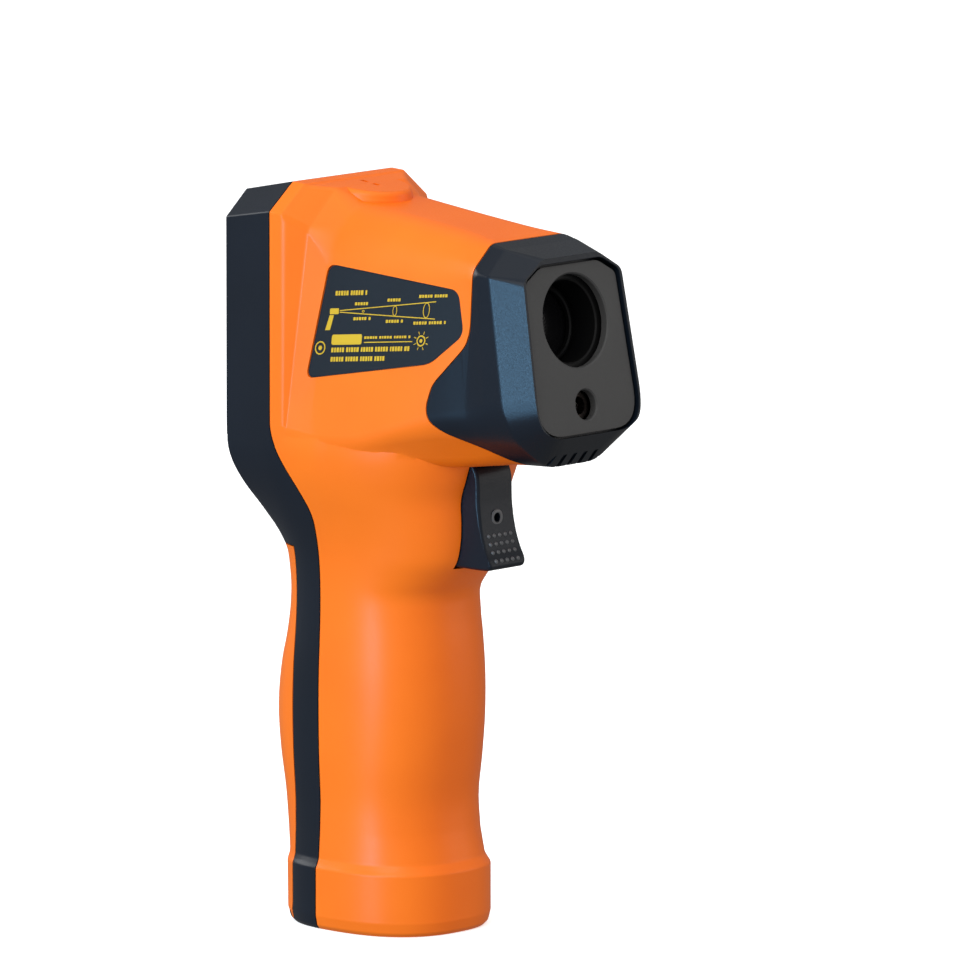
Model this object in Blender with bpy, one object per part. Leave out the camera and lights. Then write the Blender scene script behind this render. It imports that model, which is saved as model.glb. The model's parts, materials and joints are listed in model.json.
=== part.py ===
"""Pistol-grip infrared thermometer: casing, nose, trigger, battery door and inner parts.

Lengths are written in millimetres and turned into metres when a part is finished.
The frame has +Z up and its origin at the centre of the flat base of the handle.
The nose points along -Y, and "forward" (f) means the distance along -Y.
"""
import math

import bmesh
import bpy
from mathutils import Matrix, Vector

MM = 0.001
GAP = 0.3                 # clearance between neighbouring pieces
WALL = 2.0                # casing wall
MERGE = 0.003             # points closer than this are one point after a Boolean
NOSE_TILT = 10.0          # the nose face and the optics look up by this angle, degrees
NOSE_FORWARD = 55.4       # rim plane of the nose at the height NOSE_HEIGHT
NOSE_HEIGHT = 135.0
COLLAR_HEIGHT = 14.3
HEAD_FLOOR = 106.9        # where the head box ends and the grip begins
REAR_FACE = 28.0          # y of the display face
REAR_HALF_WIDTH = 21.7
CREST_TOP = 162.6         # height of the top plane where the crest starts to fall
CREST_SLOPE = 0.12        # fall of that plane per millimetre towards the nose
SEAM_HEAD = 13.75         # y of the seam between front casing and rear frame, in the head
SEAM_GRIP = 4.5           # the same seam along the grip
COVER_EDGE = 13.3         # y of the seam between rear frame and battery cover
COVER_TOP = 83.0
DOOR_PIVOT_Y = 20.3
DOOR_PIVOT_Z = 3.1
TRIGGER_HALF_WIDTH = 5.7
TRIGGER_PIVOT_F = 24.0
TRIGGER_PIVOT_Z = 108.0
LENS_ALONG = 2.4          # lens axis, measured up the nose face from NOSE_HEIGHT
LASER_ALONG = -15.8
LENS_RADIUS = 10.1
LASER_RADIUS = 3.25
PLATE_RECESS = 0.8
PLATE_GROOVE = 0.7        # open groove between the front plate and the rim of the nose
PLATE_THICKNESS = 1.8
CELL_RADIUS = 5.2
CELL_X = 5.7
CELL_Y = 14.0
CELL_BOTTOM = 21.0
CELL_LENGTH = 44.0
LCD_BOTTOM = 124.5
LCD_TOP = 153.0
KEY_X = (-10.5, 0.0, 10.5)
KEY_Z = 115.5

# Grip stations: height, forward reach, rear reach, half width, boxiness of the rear corners.
GRIP = (
    (0.0, 20.6, 20.6, 17.7, 0.0),
    (0.8, 21.4, 21.4, 18.5, 0.0),
    (3.0, 21.9, 22.0, 19.0, 0.0),
    (COLLAR_HEIGHT - 0.8, 21.9, 22.2, 19.0, 0.0),
    (COLLAR_HEIGHT, 21.4, 22.0, 18.5, 0.0),
    (15.5, 20.6, 22.1, 18.0, 0.0),
    (21.0, 19.3, 22.8, 17.6, 0.0),
    (28.0, 18.8, 23.8, 17.4, 0.0),
    (37.0, 19.8, 25.3, 17.8, 0.0),
    (47.0, 20.7, 26.0, 18.0, 0.0),
    (57.0, 20.7, 24.8, 17.9, 0.0),
    (64.0, 20.2, 23.0, 17.6, 0.0),
    (70.0, 19.5, 22.1, 17.4, 0.0),
    (74.5, 19.6, 22.0, 17.4, 0.0),
    (78.0, 22.4, 22.4, 17.5, 0.0),
    (82.0, 25.8, 22.9, 17.8, 0.05),
    (86.0, 27.0, 24.3, 18.4, 0.2),
    (91.0, 27.2, 26.3, 19.6, 0.5),
    (96.0, 27.0, 27.5, 21.1, 0.8),
    (101.0, 28.6, 27.9, 22.3, 0.97),
    (HEAD_FLOOR, 30.4, 27.98, 22.9, 1.0),
    (112.0, 31.0, 27.4, 22.0, 1.0),
)
GRIP_POWER = 2.5

# Head stations: forward position at NOSE_HEIGHT, tilt, then the (x, z) corners of the right half
# (top edge, shoulder, lower crease, bottom edge) and how much of each corner is rounded away.
HEAD = (
    (-28.0, 0.0, (15.2, 159.8), (21.7, 154.3), (21.7, 110.0), (21.6, 106.6), (0.3, 0.3, 0.3, 0.3)),
    (-13.7, 0.0, (15.9, 162.7), (23.3, 156.8), (23.3, 110.0), (23.2, 106.6), (0.3, 0.3, 0.3, 0.3)),
    (-10.3, 0.0, (15.9, 162.5), (23.3, 156.5), (23.3, 110.0), (23.2, 106.6), (0.3, 0.3, 0.3, 0.3)),
    (-9.6, 0.0, (15.3, 162.1), (22.9, 155.9), (23.3, 110.0), (23.1, 106.6), (1.0, 1.0, 0.6, 0.3)),
    (-7.2, -4.2, (11.2, 161.6), (19.4, 153.3), (23.25, 109.5), (23.0, 106.4), (1.0, 1.0, 0.8, 0.6)),
    (-1.5, -2.0, (10.8, 158.8), (18.3, 150.8), (23.1, 108.4), (22.4, 105.4), (4.0, 5.0, 1.2, 1.0)),
    (12.0, 0.0, (10.6, 157.3), (17.9, 149.6), (22.9, 109.0), (20.5, 104.3), (4.0, 5.0, 2.0, 2.0)),
    (24.0, 0.0, (10.6, 155.9), (17.6, 148.9), (22.3, 112.0), (14.0, 103.4), (4.0, 4.6, 3.0, 4.0)),
    (34.0, 1.0, (10.9, 154.7), (17.3, 148.7), (21.2, 114.1), (10.5, 104.4), (3.5, 3.8, 4.0, 4.0)),
    (40.4, 4.0, (11.4, 154.0), (17.3, 148.4), (20.0, 114.4), (9.5, 105.4), (2.5, 2.6, 5.0, 4.5)),
    (43.4, 7.0, (11.6, 153.5), (17.9, 147.9), (19.9, 114.7), (9.3, 105.7), (0.7, 0.7, 6.0, 5.0)),
    (47.8, 11.0, (11.5, 152.7), (18.1, 147.6), (19.8, 114.9), (9.0, 105.9), (0.4, 0.4, 7.0, 6.0)),
    (NOSE_FORWARD, 10.0, (8.9, 151.1), (15.7, 147.0), (16.9, 116.4), (12.4, 113.2), (1.4, 1.4, 6.5, 4.5)),
)

# Side view of the seam between casing and nose shroud, as (forward, height) from top to bottom.
NOSE_SEAM = (
    (40.4, 170.0), (40.4, 135.5), (39.5, 132.2), (34.5, 126.7), (31.3, 123.2), (30.0, 118.2),
    (31.0, 115.3), (34.1, 113.1), (40.3, 110.3), (45.0, 107.6), (48.6, 105.2), (50.7, 100.0),
)

# Front plate outline on the nose face as (x, along) points, and the cuts at its corners.
PLATE_CORNERS = ((9.0, 14.4), (14.2, 11.4), (15.7, -21.6))
PLATE_CUTS = (1.2, 1.2, 8.0)

# Casing screws as (x, height).
BAY_SCREWS = ((0.0, 9.0), (0.0, 75.5))
HEAD_SCREW_X = 17.6
HEAD_SCREW_Z = 111.0

# Side label corners as (forward, height).
LABEL_CORNERS = ((-0.2, 146.2), (36.3, 143.7), (38.5, 134.5), (29.9, 127.5), (-4.3, 121.3))
LABEL_CENTRE = Vector((17.0, 134.5))

# Grip notches under the nose: side view outline, number and distance between them.
NOTCH_SIDE = (
    (50.0, 104.0), (50.0, 105.7), (53.0, 106.6), (55.6, 108.9), (57.0, 108.9), (57.0, 104.0),
)
NOTCH_COUNT = 6
NOTCH_STEP = 3.3

# Side view outline of the trigger as (forward, height), and the heights behind it.
TRIGGER_SIDE = (
    (28.8, 105.2), (30.3, 103.0), (31.0, 101.0), (31.2, 95.0), (31.7, 91.0), (32.4, 88.0),
    (33.4, 85.2), (34.7, 82.9), (34.8, 81.9), (34.0, 81.2), (30.5, 81.1), (21.5, 81.2),
    (20.9, 90.0), (20.5, 100.0), (20.8, 107.2), (22.2, 110.2), (24.6, 111.0), (27.0, 109.3),
)
SWITCH_Z = 96.0
SPRING_Z = 86.5

MATERIALS = {}


def clear_scene():
    for item in list(bpy.data.objects):
        bpy.data.objects.remove(item)


def shape_from(bm):
    """Wrap a bmesh in a temporary object, with its faces pointing out."""
    bmesh.ops.recalc_face_normals(bm, faces=bm.faces)
    mesh = bpy.data.meshes.new("shape")
    bm.to_mesh(mesh)
    bm.free()
    shape = bpy.data.objects.new("shape", mesh)
    bpy.context.scene.collection.objects.link(shape)
    return shape


def loft(rings):
    """Skin rings that have the same number of points, and cap both ends."""
    bm = bmesh.new()
    rows = [[bm.verts.new(point) for point in ring] for ring in rings]
    count = len(rings[0])
    for low, high in zip(rows, rows[1:]):
        for i in range(count):
            j = (i + 1) % count
            bm.faces.new((low[i], low[j], high[j], high[i]))
    bm.faces.new(rows[0])
    bm.faces.new(rows[-1])
    return shape_from(bm)


def box(x0, x1, y0, y1, z0, z1):
    """Block between two corners."""
    outline = ((x0, y0), (x1, y0), (x1, y1), (x0, y1))
    return loft([[(x, y, z) for x, y in outline] for z in (z0, z1)])


def prism_x(outline, x0, x1):
    """Side-view outline of (forward, height) points, extruded across the object."""
    return loft([[(x, -f, z) for f, z in outline] for x in (x0, x1)])


def prism_y(outline, y0, y1):
    """Rear-view outline of (x, z) points, extruded front to back."""
    return loft([[(x, y, z) for x, z in outline] for y in (y0, y1)])


def nose_point(x, along, out):
    """Point in the tilted frame of the nose face: across, up the face, and out of the face."""
    tilt = math.radians(NOSE_TILT)
    forward = NOSE_FORWARD + out * math.cos(tilt) - along * math.sin(tilt)
    height = NOSE_HEIGHT + out * math.sin(tilt) + along * math.cos(tilt)
    return (x, -forward, height)


def nose_prism(outline, out0, out1):
    """Outline of (x, along) points in the nose face, extruded along the optical axis."""
    return loft([[nose_point(x, along, out) for x, along in outline] for out in (out0, out1)])


def circle(radius, count=20, cx=0.0, cy=0.0):
    angles = [2 * math.pi * i / count for i in range(count)]
    return [(cx + radius * math.cos(a), cy + radius * math.sin(a)) for a in angles]


def nose_turned(profile, along, count=20):
    """Turned piece about an optical axis; the closed profile holds (radius, out) points."""
    rings = [[nose_point(x, along + s, out) for x, s in circle(radius, count)]
             for radius, out in profile]
    return loft_loop(rings)


def loft_loop(rings):
    """Skin rings round into a closed ring-shaped body, with no caps."""
    bm = bmesh.new()
    rows = [[bm.verts.new(point) for point in ring] for ring in rings]
    count = len(rings[0])
    for k, low in enumerate(rows):
        high = rows[(k + 1) % len(rows)]
        for i in range(count):
            j = (i + 1) % count
            bm.faces.new((low[i], low[j], high[j], high[i]))
    return shape_from(bm)


def rod(start, end, radius, count=14):
    """Solid cylinder between two points."""
    start, end = Vector(start), Vector(end)
    turn = (end - start).to_track_quat("Z", "Y")
    flat = [turn @ Vector((x, y, 0)) for x, y in circle(radius, count)]
    return loft([[point + centre for point in flat] for centre in (start, end)])


def coil(start, end, radius, wire, turns, per_turn=8, sides=5):
    """Compression spring between two points, as one swept wire."""
    start, end = Vector(start), Vector(end)
    turn = (end - start).to_track_quat("Z", "Y")
    length = (end - start).length
    count = int(turns * per_turn)
    centres = []
    for i in range(count + 1):
        angle = 2 * math.pi * turns * i / count
        local = Vector((radius * math.cos(angle), radius * math.sin(angle), length * i / count))
        centres.append(start + turn @ local)
    axis = (end - start).normalized()
    rings = []
    for centre in centres:
        spoke = (centre - start) - axis * (centre - start).dot(axis)
        spoke.normalize()
        rings.append([centre + wire * (math.cos(a) * spoke + math.sin(a) * axis)
                      for a in [2 * math.pi * k / sides for k in range(sides)]])
    return loft(rings)


def combine(target, other, operation):
    """Apply a Boolean between two shapes; the second one is used up."""
    modifier = target.modifiers.new("combine", "BOOLEAN")
    modifier.operation = operation
    modifier.solver = "EXACT"
    modifier.object = other
    bpy.context.view_layer.update()
    graph = bpy.context.evaluated_depsgraph_get()
    bm = bmesh.new()
    bm.from_object(target, graph)
    bmesh.ops.remove_doubles(bm, verts=bm.verts, dist=MERGE)
    bmesh.ops.dissolve_degenerate(bm, edges=bm.edges, dist=MERGE)
    target.modifiers.clear()
    target.data = bpy.data.meshes.new("shape")
    bm.to_mesh(target.data)
    bm.free()
    bpy.data.objects.remove(other)
    return target


def cut(target, *others):
    for other in others:
        combine(target, other, "DIFFERENCE")
    return target


def join(target, *others):
    for other in others:
        combine(target, other, "UNION")
    return target


def keep(target, other):
    return combine(target, other, "INTERSECT")


def copy_of(shape):
    duplicate = shape.copy()
    duplicate.data = shape.data.copy()
    bpy.context.scene.collection.objects.link(duplicate)
    return duplicate


# ---- finishes -------------------------------------------------------------------------------

def material(name, colour, roughness, metallic=0.0):
    """One Principled material for each finish."""
    finish = bpy.data.materials.new(name)
    finish.use_nodes = True
    shader = finish.node_tree.nodes["Principled BSDF"]
    shader.inputs["Base Color"].default_value = (*colour, 1.0)
    shader.inputs["Roughness"].default_value = roughness
    shader.inputs["Metallic"].default_value = metallic
    finish.diffuse_color = (*colour, 1.0)
    MATERIALS[name] = finish


def make_materials():
    material("orange_plastic", (0.90, 0.20, 0.02), 0.45)
    material("navy_plastic", (0.018, 0.024, 0.034), 0.4)
    material("grey_plastic", (0.055, 0.055, 0.056), 0.5)
    material("black_plastic", (0.01, 0.01, 0.011), 0.5)
    material("label_film", (0.02, 0.03, 0.045), 0.35)
    material("clear_window", (0.05, 0.06, 0.06), 0.08)
    material("lcd_glass", (0.35, 0.40, 0.34), 0.15)
    material("white_plastic", (0.75, 0.75, 0.72), 0.4)
    material("infrared_lens", (0.02, 0.02, 0.021), 0.15)
    material("rubber", (0.02, 0.02, 0.02), 0.8)
    material("circuit_board", (0.01, 0.12, 0.04), 0.5)
    material("steel", (0.60, 0.60, 0.60), 0.3, 1.0)
    material("nickel", (0.70, 0.68, 0.64), 0.25, 1.0)
    material("dark_metal", (0.05, 0.045, 0.04), 0.4, 1.0)
    material("cell_sleeve", (0.03, 0.10, 0.20), 0.35)


def part(name, shape, finish, pivot=None):
    """Finish a shape as a named part in metres, with its origin at its pivot."""
    pivot = Vector(pivot) if pivot else Vector()
    shape.data.transform(Matrix.Translation(-pivot))
    shape.data.transform(Matrix.Scale(MM, 4))
    shape.location = pivot * MM
    shape.name = name
    shape.data.name = name
    shape.data.materials.clear()
    shape.data.materials.append(MATERIALS[finish])
    shape.data.shade_smooth()
    shape.data.set_sharp_from_angle(angle=math.radians(32))
    return shape


# ---- casing outline -------------------------------------------------------------------------

def grip_angles():
    """Directions of a grip ring's points; two of them meet the rear corners of the head."""
    corner = math.degrees(math.atan2(REAR_FACE, REAR_HALF_WIDTH))
    angles = []
    for step in range(0, 360, 9):
        if step == 54:
            angles.append(math.radians(corner))
        elif step == 126:
            angles.append(math.radians(180 - corner))
        else:
            angles.append(math.radians(step))
    return angles


def grip_ring(station, inset):
    """Horizontal section of the grip: oval below, turning into the head's box at the rear."""
    height, front, rear, width, boxiness = station
    front, rear, width = front - inset, rear - inset, width - inset
    draft = 1.6 / (REAR_FACE - SEAM_HEAD)
    side = width + 0.3
    ring = []
    for angle in grip_angles():
        c, s = abs(math.cos(angle)), math.sin(angle)
        reach = rear if s > 0 else front
        power = GRIP_POWER
        oval = ((c / width) ** power + (abs(s) / reach) ** power) ** (-1 / power)
        radius = oval
        if s > 0 and boxiness > 0:
            flank = min(side / max(c, 1e-6), (side + draft * SEAM_HEAD) / (c + draft * s))
            radius = oval + boxiness * (min(flank, rear / s) - oval)
        ring.append((radius * math.cos(angle), radius * s, height))
    return ring


def grip(inset=0.0):
    stations = list(GRIP)
    if inset:
        floor = (inset, *GRIP[2][1:])
        stations = [floor] + [s for s in stations if s[0] > 4.0]
    rings = [grip_ring(station, inset) for station in stations]
    return loft(rings)


def rounded_corner(before, corner, after, distance, steps=3):
    """Points of a curve that cuts a corner at the given distance, at most half of each side."""
    corner = Vector(corner)
    back = Vector(before) - corner
    ahead = Vector(after) - corner
    start = corner + back.normalized() * min(distance, 0.48 * back.length)
    end = corner + ahead.normalized() * min(distance, 0.48 * ahead.length)
    points = []
    for i in range(steps + 1):
        t = i / steps
        points.append(start * (1 - t) ** 2 + corner * 2 * t * (1 - t) + end * t ** 2)
    return points


def symmetric_outline(corners, cuts, steps=3):
    """Closed outline from the right half's corners, top to bottom, mirrored to the left."""
    corners = [Vector(corner) for corner in corners]
    top = Vector((0.0, corners[0].y))
    bottom = Vector((0.0, corners[-1].y))
    chain = [top] + corners + [bottom]
    half = []
    for i, cut_distance in enumerate(cuts):
        half += rounded_corner(chain[i], chain[i + 1], chain[i + 2], cut_distance, steps)
    right = [top] + half + [bottom]
    left = [Vector((-point.x, point.y)) for point in reversed(half)]
    return right + left


def head_ring(station, inset):
    """Section of the head in a plane that leans with the nose."""
    forward, tilt, top, shoulder, crease, floor, cuts = station
    corners = (
        (top[0] - 0.4 * inset, top[1] - inset),
        (shoulder[0] - inset, shoulder[1] - 0.4 * inset),
        (crease[0] - inset, crease[1] + 0.15 * inset),
        (floor[0] - 0.75 * inset, floor[1] + inset),
    )
    outline = symmetric_outline(corners, cuts)
    lean = math.tan(math.radians(tilt))
    return [(x, -(forward + (NOSE_HEIGHT - z) * lean), z) for x, z in outline]


def head(inset=0.0):
    """Loft of the head from the display face to the nose rim."""
    stations = list(HEAD)
    if inset > 1.0:
        rear = (HEAD[0][0] + inset, *HEAD[0][1:])
        stations = [rear] + list(HEAD[1:-1])
    return loft([head_ring(station, inset) for station in stations])


def crest_height(forward):
    """Height of the sloping top plane of the crest and of the round boss on it."""
    return CREST_TOP - CREST_SLOPE * (forward - HEAD[1][0])


def vent_boss():
    """Round boss on top of the head, with a sloping top flush with the crest."""
    forward, radius = -5.0, 8.7
    rings = []
    for size, rise in ((radius + 1.2, -9.0), (radius, -0.8), (radius - 0.7, 0.0)):
        ring = []
        for x, df in circle(size, 24):
            top = crest_height(forward + df) - 0.02
            ring.append((x, -(forward + df), 150.0 if rise < -5 else top + rise))
        rings.append(ring)
    return loft(rings)


def hollow_shell():
    """The casing wall: the outer body with the head and the grip hollowed out one by one."""
    return cut(join(head(), grip(), vent_boss()), head(WALL), grip(WALL))


# ---- seams ----------------------------------------------------------------------------------

def seam_y(height):
    """Y of the seam between front casing and rear frame: straight, swept back at the head."""
    t = min(max((height - 89.0) / (111.0 - 89.0), 0.0), 1.0)
    blend = t * t * (3 - 2 * t)
    return SEAM_GRIP + (SEAM_HEAD - SEAM_GRIP) * blend


def seam_points(offset):
    """Side-view points (forward, height) of the seam, moved back by an offset."""
    heights = [-5.0] + [89.0 + 22.0 * i / 10 for i in range(11)] + [175.0]
    return [(-(seam_y(height) + offset), height) for height in heights]


def region_front():
    return prism_x(seam_points(-GAP / 2) + [(90.0, 175.0), (90.0, -5.0)], -40, 40)


def region_rear():
    return prism_x(seam_points(GAP / 2) + [(-60.0, 175.0), (-60.0, -5.0)], -40, 40)


def region_nose(offset):
    """Space in front of the seam between casing and nose shroud."""
    points = [(f + offset, z) for f, z in NOSE_SEAM]
    return prism_x(points + [(90.0, 100.0), (90.0, 175.0)], -40, 40)


def region_cover(offset):
    """Space behind the seam between rear frame and battery cover."""
    edge = COVER_EDGE + offset
    top = COVER_TOP - offset
    outline = [(-edge, 5.0), (-edge, top), (-60.0, top), (-60.0, -5.0), (-edge - 1.3, -5.0)]
    return prism_x(outline, -40, 40)


# ---- casing pieces --------------------------------------------------------------------------

def plate_outline(grow):
    corners = [(x + grow, along + (grow if along > 0 else -grow)) for x, along in PLATE_CORNERS]
    return symmetric_outline(corners, PLATE_CUTS, steps=4)


def label_outline(grow):
    """Side-view outline of a side label, with rounded corners."""
    corners = []
    for corner in LABEL_CORNERS:
        away = Vector(corner) - LABEL_CENTRE
        corners.append(LABEL_CENTRE + away * (1 + grow / away.length))
    outline = []
    for i, corner in enumerate(corners):
        after = corners[(i + 1) % len(corners)]
        outline += rounded_corner(corners[i - 1], corner, after, 2.2)
    return outline


def trigger_slot():
    """Opening in the casing that the trigger works in."""
    outline = ((12.0, 81.7), (18.0, 81.3), (26.0, 80.6), (45.0, 79.9), (45.0, 101.0),
               (31.2, 103.6), (30.4, 109.0), (14.0, 109.0))
    half = TRIGGER_HALF_WIDTH + GAP
    return prism_x(outline, -half, half)


def make_front_casing(shell):
    casing = keep(copy_of(shell), region_front())
    cut(casing, region_nose(-GAP / 2))
    for x, z in BAY_SCREWS:
        post = keep(rod((x, 5.6, z), (x, -30.0, z), 2.9), grip(WALL / 2))
        join(casing, post)
        cut(casing, rod((x, 7.0, z), (x, -8.0, z), 1.35))
    for side in (-1, 1):
        x = side * (HEAD_SCREW_X + 0.6)
        join(casing, rod((x, 13.2, HEAD_SCREW_Z), (x + side, 4.0, HEAD_SCREW_Z), 2.9))
        x = side * HEAD_SCREW_X
        cut(casing, rod((x, 15.0, HEAD_SCREW_Z), (x, 5.5, HEAD_SCREW_Z), 1.35))
        pivot = (side * 6.5, -TRIGGER_PIVOT_F, TRIGGER_PIVOT_Z)
        flank = (side * 19.6, -TRIGGER_PIVOT_F, TRIGGER_PIVOT_Z)
        join(casing, keep(rod(pivot, flank, 2.8), head(WALL / 2)))
    cut(casing, trigger_slot())
    cut(casing, rod((-12, -TRIGGER_PIVOT_F, TRIGGER_PIVOT_Z),
                    (12, -TRIGGER_PIVOT_F, TRIGGER_PIVOT_Z), 1.5))
    for side in (-1, 1):
        recess = prism_x(label_outline(0.25), side * 10, side * 30)
        cut(casing, cut(recess, head(0.75)))
    for forward in (-7.2, -3.8):
        cut(casing, box(-0.4, 0.4, -forward - 0.8, -forward + 0.8, 150, 170))
    part("front_casing", casing, "orange_plastic")


def make_nose_shroud(shell):
    shroud = keep(copy_of(shell), region_nose(GAP / 2))
    cut(shroud, nose_prism(plate_outline(PLATE_GROOVE), -PLATE_RECESS - PLATE_THICKNESS - 0.2, 3.0))
    cut(shroud, nose_prism(plate_outline(-1.0), -12.0, 0.0))
    for i in range(NOTCH_COUNT):
        x = NOTCH_STEP * (i - (NOTCH_COUNT - 1) / 2)
        cut(shroud, prism_x(NOTCH_SIDE, x - 0.5, x + 0.5))
    part("nose_shroud", shroud, "navy_plastic")


def window_outline(grow):
    half = 15.2 + grow
    corners = ((half, LCD_TOP + 1.2 + grow), (half, LCD_BOTTOM - 1.2 - grow))
    return symmetric_outline(corners, (2.0, 2.0))


def make_rear_frame(shell):
    """Rear half of the casing; a tongue of its floor reaches under the battery cover."""
    tongue = box(-15.0, 15.0, 12.0, 16.9, -1.0, 2.15)
    frame = cut(keep(copy_of(shell), region_rear()), cut(region_cover(-GAP / 2), tongue))
    walls = ((6.6, 8.4, 4.9, 80.0), (8.0, 12.4, 13.1, 14.9), (8.0, 12.4, 70.1, 71.9))
    for y0, y1, z0, z1 in walls:
        join(frame, keep(box(-22, 22, y0, y1, z0, z1), grip(WALL / 2)))
    for side in (-1, 1):
        ear = rod((side * 5.5, DOOR_PIVOT_Y, DOOR_PIVOT_Z), (side * 7.5, DOOR_PIVOT_Y, DOOR_PIVOT_Z), 1.4)
        web = box(side * 5.5, side * 7.5, 14.5, DOOR_PIVOT_Y, 1.0, 4.4)
        join(frame, join(ear, web))
        x, z = side * HEAD_SCREW_X, HEAD_SCREW_Z
        join(frame, rod((x, 27.0, z), (x, 14.0, z), 2.7))
        cut(frame, rod((x, 30.0, z), (x, 26.3, z), 2.3), rod((x, 27.0, z), (x, 12.0, z), 1.35))
    cut(frame, rod((-9, DOOR_PIVOT_Y, DOOR_PIVOT_Z), (9, DOOR_PIVOT_Y, DOOR_PIVOT_Z), 0.95))
    for x, z in BAY_SCREWS:
        cut(frame, rod((x, 9.0, z), (x, 6.0, z), 1.35))
    cut(frame, prism_y(window_outline(GAP), REAR_FACE - 1.2, REAR_FACE + 2))
    cut(frame, prism_y(window_outline(-1.2), REAR_FACE - 4, REAR_FACE + 2))
    for x in KEY_X:
        cut(frame, rod((x, 24.0, KEY_Z), (x, 30.0, KEY_Z), 3.7, 20))
    part("rear_frame", frame, "navy_plastic")


def make_battery_cover(shell):
    cover = keep(copy_of(shell), region_cover(GAP / 2))
    cut(cover, box(-15.3, 15.3, 10.0, 19.0, -1.0, 2.45))
    knuckle = rod((-5.1, DOOR_PIVOT_Y, DOOR_PIVOT_Z), (5.1, DOOR_PIVOT_Y, DOOR_PIVOT_Z), 1.5)
    join(cover, knuckle)
    for side in (-1, 1):
        cut(cover, box(side * 5.2, side * 7.8, 14.0, 24.0, -1.0, 5.0))
    cut(cover, rod((-9, DOOR_PIVOT_Y, DOOR_PIVOT_Z), (9, DOOR_PIVOT_Y, DOOR_PIVOT_Z), 0.95))
    latch = box(-4.0, 4.0, 19.6, 21.6, 78.0, 82.8)
    join(cover, latch)
    part("battery_cover", cover, "orange_plastic", (0.0, DOOR_PIVOT_Y, DOOR_PIVOT_Z))


def make_labels():
    for side, name in ((-1, "label_right"), (1, "label_left")):
        film = keep(prism_x(label_outline(0.0), side * 10, side * 30), head(0.25))
        part(name, cut(film, head(0.62)), "label_film")


# ---- trigger and its switch -----------------------------------------------------------------

def make_trigger():
    half = TRIGGER_HALF_WIDTH
    trigger = prism_x(TRIGGER_SIDE, -half, half)
    bevel = trigger.modifiers.new("edge", "BEVEL")
    bevel.width = 0.7
    bevel.segments = 2
    bevel.limit_method = "ANGLE"
    bevel.angle_limit = math.radians(50)
    pivot = (0.0, -TRIGGER_PIVOT_F, TRIGGER_PIVOT_Z)
    cut(trigger, rod((-9, pivot[1], pivot[2]), (9, pivot[1], pivot[2]), 1.5))
    cut(trigger, rod((0, -26.0, 91.8), (0, -34.0, 92.4), 1.0, 12))
    part("trigger", trigger, "navy_plastic", pivot)
    pin = rod((-9.2, pivot[1], pivot[2]), (9.2, pivot[1], pivot[2]), 1.25)
    part("trigger_pivot_pin", pin, "steel")


def make_trigger_switch():
    z = SWITCH_Z
    body = box(-3.5, 3.5, -15.2, -9.4, z - 3.5, z + 3.5)
    cut(body, rod((0, -12.0, z), (0, -16.0, z), 1.5))
    part("trigger_switch_body", body, "black_plastic")
    plunger = rod((0, -13.8, z), (0, -20.3, z), 1.2)
    part("trigger_switch_plunger", plunger, "white_plastic")
    part("trigger_board", box(-7.0, 7.0, -9.1, -7.5, 87.0, 105.0), "circuit_board")
    post = rod((0, -9.4, SPRING_Z), (0, -12.4, SPRING_Z), 1.0)
    part("trigger_spring_post", post, "black_plastic")
    spring = coil((0, -9.9, SPRING_Z), (0, -20.5, SPRING_Z), 1.75, 0.25, 6)
    part("trigger_spring", spring, "steel")


# ---- nose and optics ------------------------------------------------------------------------

def make_front_plate():
    back = -PLATE_RECESS - PLATE_THICKNESS
    plate = nose_prism(plate_outline(0.0), back, -PLATE_RECESS)
    for radius, along in ((LENS_RADIUS, LENS_ALONG), (LASER_RADIUS, LASER_ALONG)):
        outline = circle(radius, 28 if radius > 5 else 18, 0.0, along)
        cut(plate, nose_prism(outline, back - 1.0, 1.0))
    part("front_plate", plate, "grey_plastic")


def make_optics():
    barrel = ((10.8, -3.1), (10.8, -4.6), (10.4, -4.6), (10.4, -24.0), (3.0, -24.0),
              (3.0, -22.6), (8.2, -22.6), (8.2, -12.5), (8.9, -12.5), (8.9, -3.1))
    part("lens_tube", nose_turned(barrel, LENS_ALONG, 24), "black_plastic")
    lens = circle(8.6, 24, 0.0, LENS_ALONG)
    part("fresnel_lens", nose_prism(lens, -12.2, -11.2), "infrared_lens")
    ring = ((8.6, -10.9), (8.6, -9.4), (7.6, -9.4), (7.6, -10.9))
    part("lens_retaining_ring", nose_turned(ring, LENS_ALONG, 24), "black_plastic")
    can = nose_prism(circle(4.1, 18, 0.0, LENS_ALONG), -28.0, -24.3)
    part("thermopile_sensor", can, "nickel")
    board = [(-8.0, -5.6), (8.0, -5.6), (8.0, 10.4), (-8.0, 10.4)]
    part("sensor_board", nose_prism(board, -29.9, -28.3), "circuit_board")
    frame = symmetric_outline(((10.0, 14.8), (14.2, 11.2), (14.5, -18.7)), (1.0, 1.0, 5.0))
    holder = nose_prism(frame, -19.6, -18.0)
    cut(holder, nose_prism(circle(10.7, 24, 0.0, LENS_ALONG), -22.0, -16.0))
    part("optics_frame", holder, "black_plastic")


def make_laser():
    rings = []
    for radius, out in ((3.0, -15.5), (3.0, -3.2), (2.0, -3.2), (2.0, -7.0)):
        rings.append([nose_point(x, s, out) for x, s in circle(radius, 18, 0.0, LASER_ALONG)])
    part("laser_housing", loft(rings), "dark_metal")
    lens = nose_prism(circle(1.7, 16, 0.0, LASER_ALONG), -6.0, -5.0)
    part("laser_lens", lens, "clear_window")
    side = LASER_ALONG
    outline = [(-5.5, side - 3.6), (5.5, side - 3.6), (5.5, side + 4.9), (-5.5, side + 4.9)]
    clamp = nose_prism(outline, -12.5, -8.0)
    cut(clamp, nose_prism(circle(3.3, 18, 0.0, side), -14.0, -6.0))
    part("laser_clamp", clamp, "black_plastic")


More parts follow.
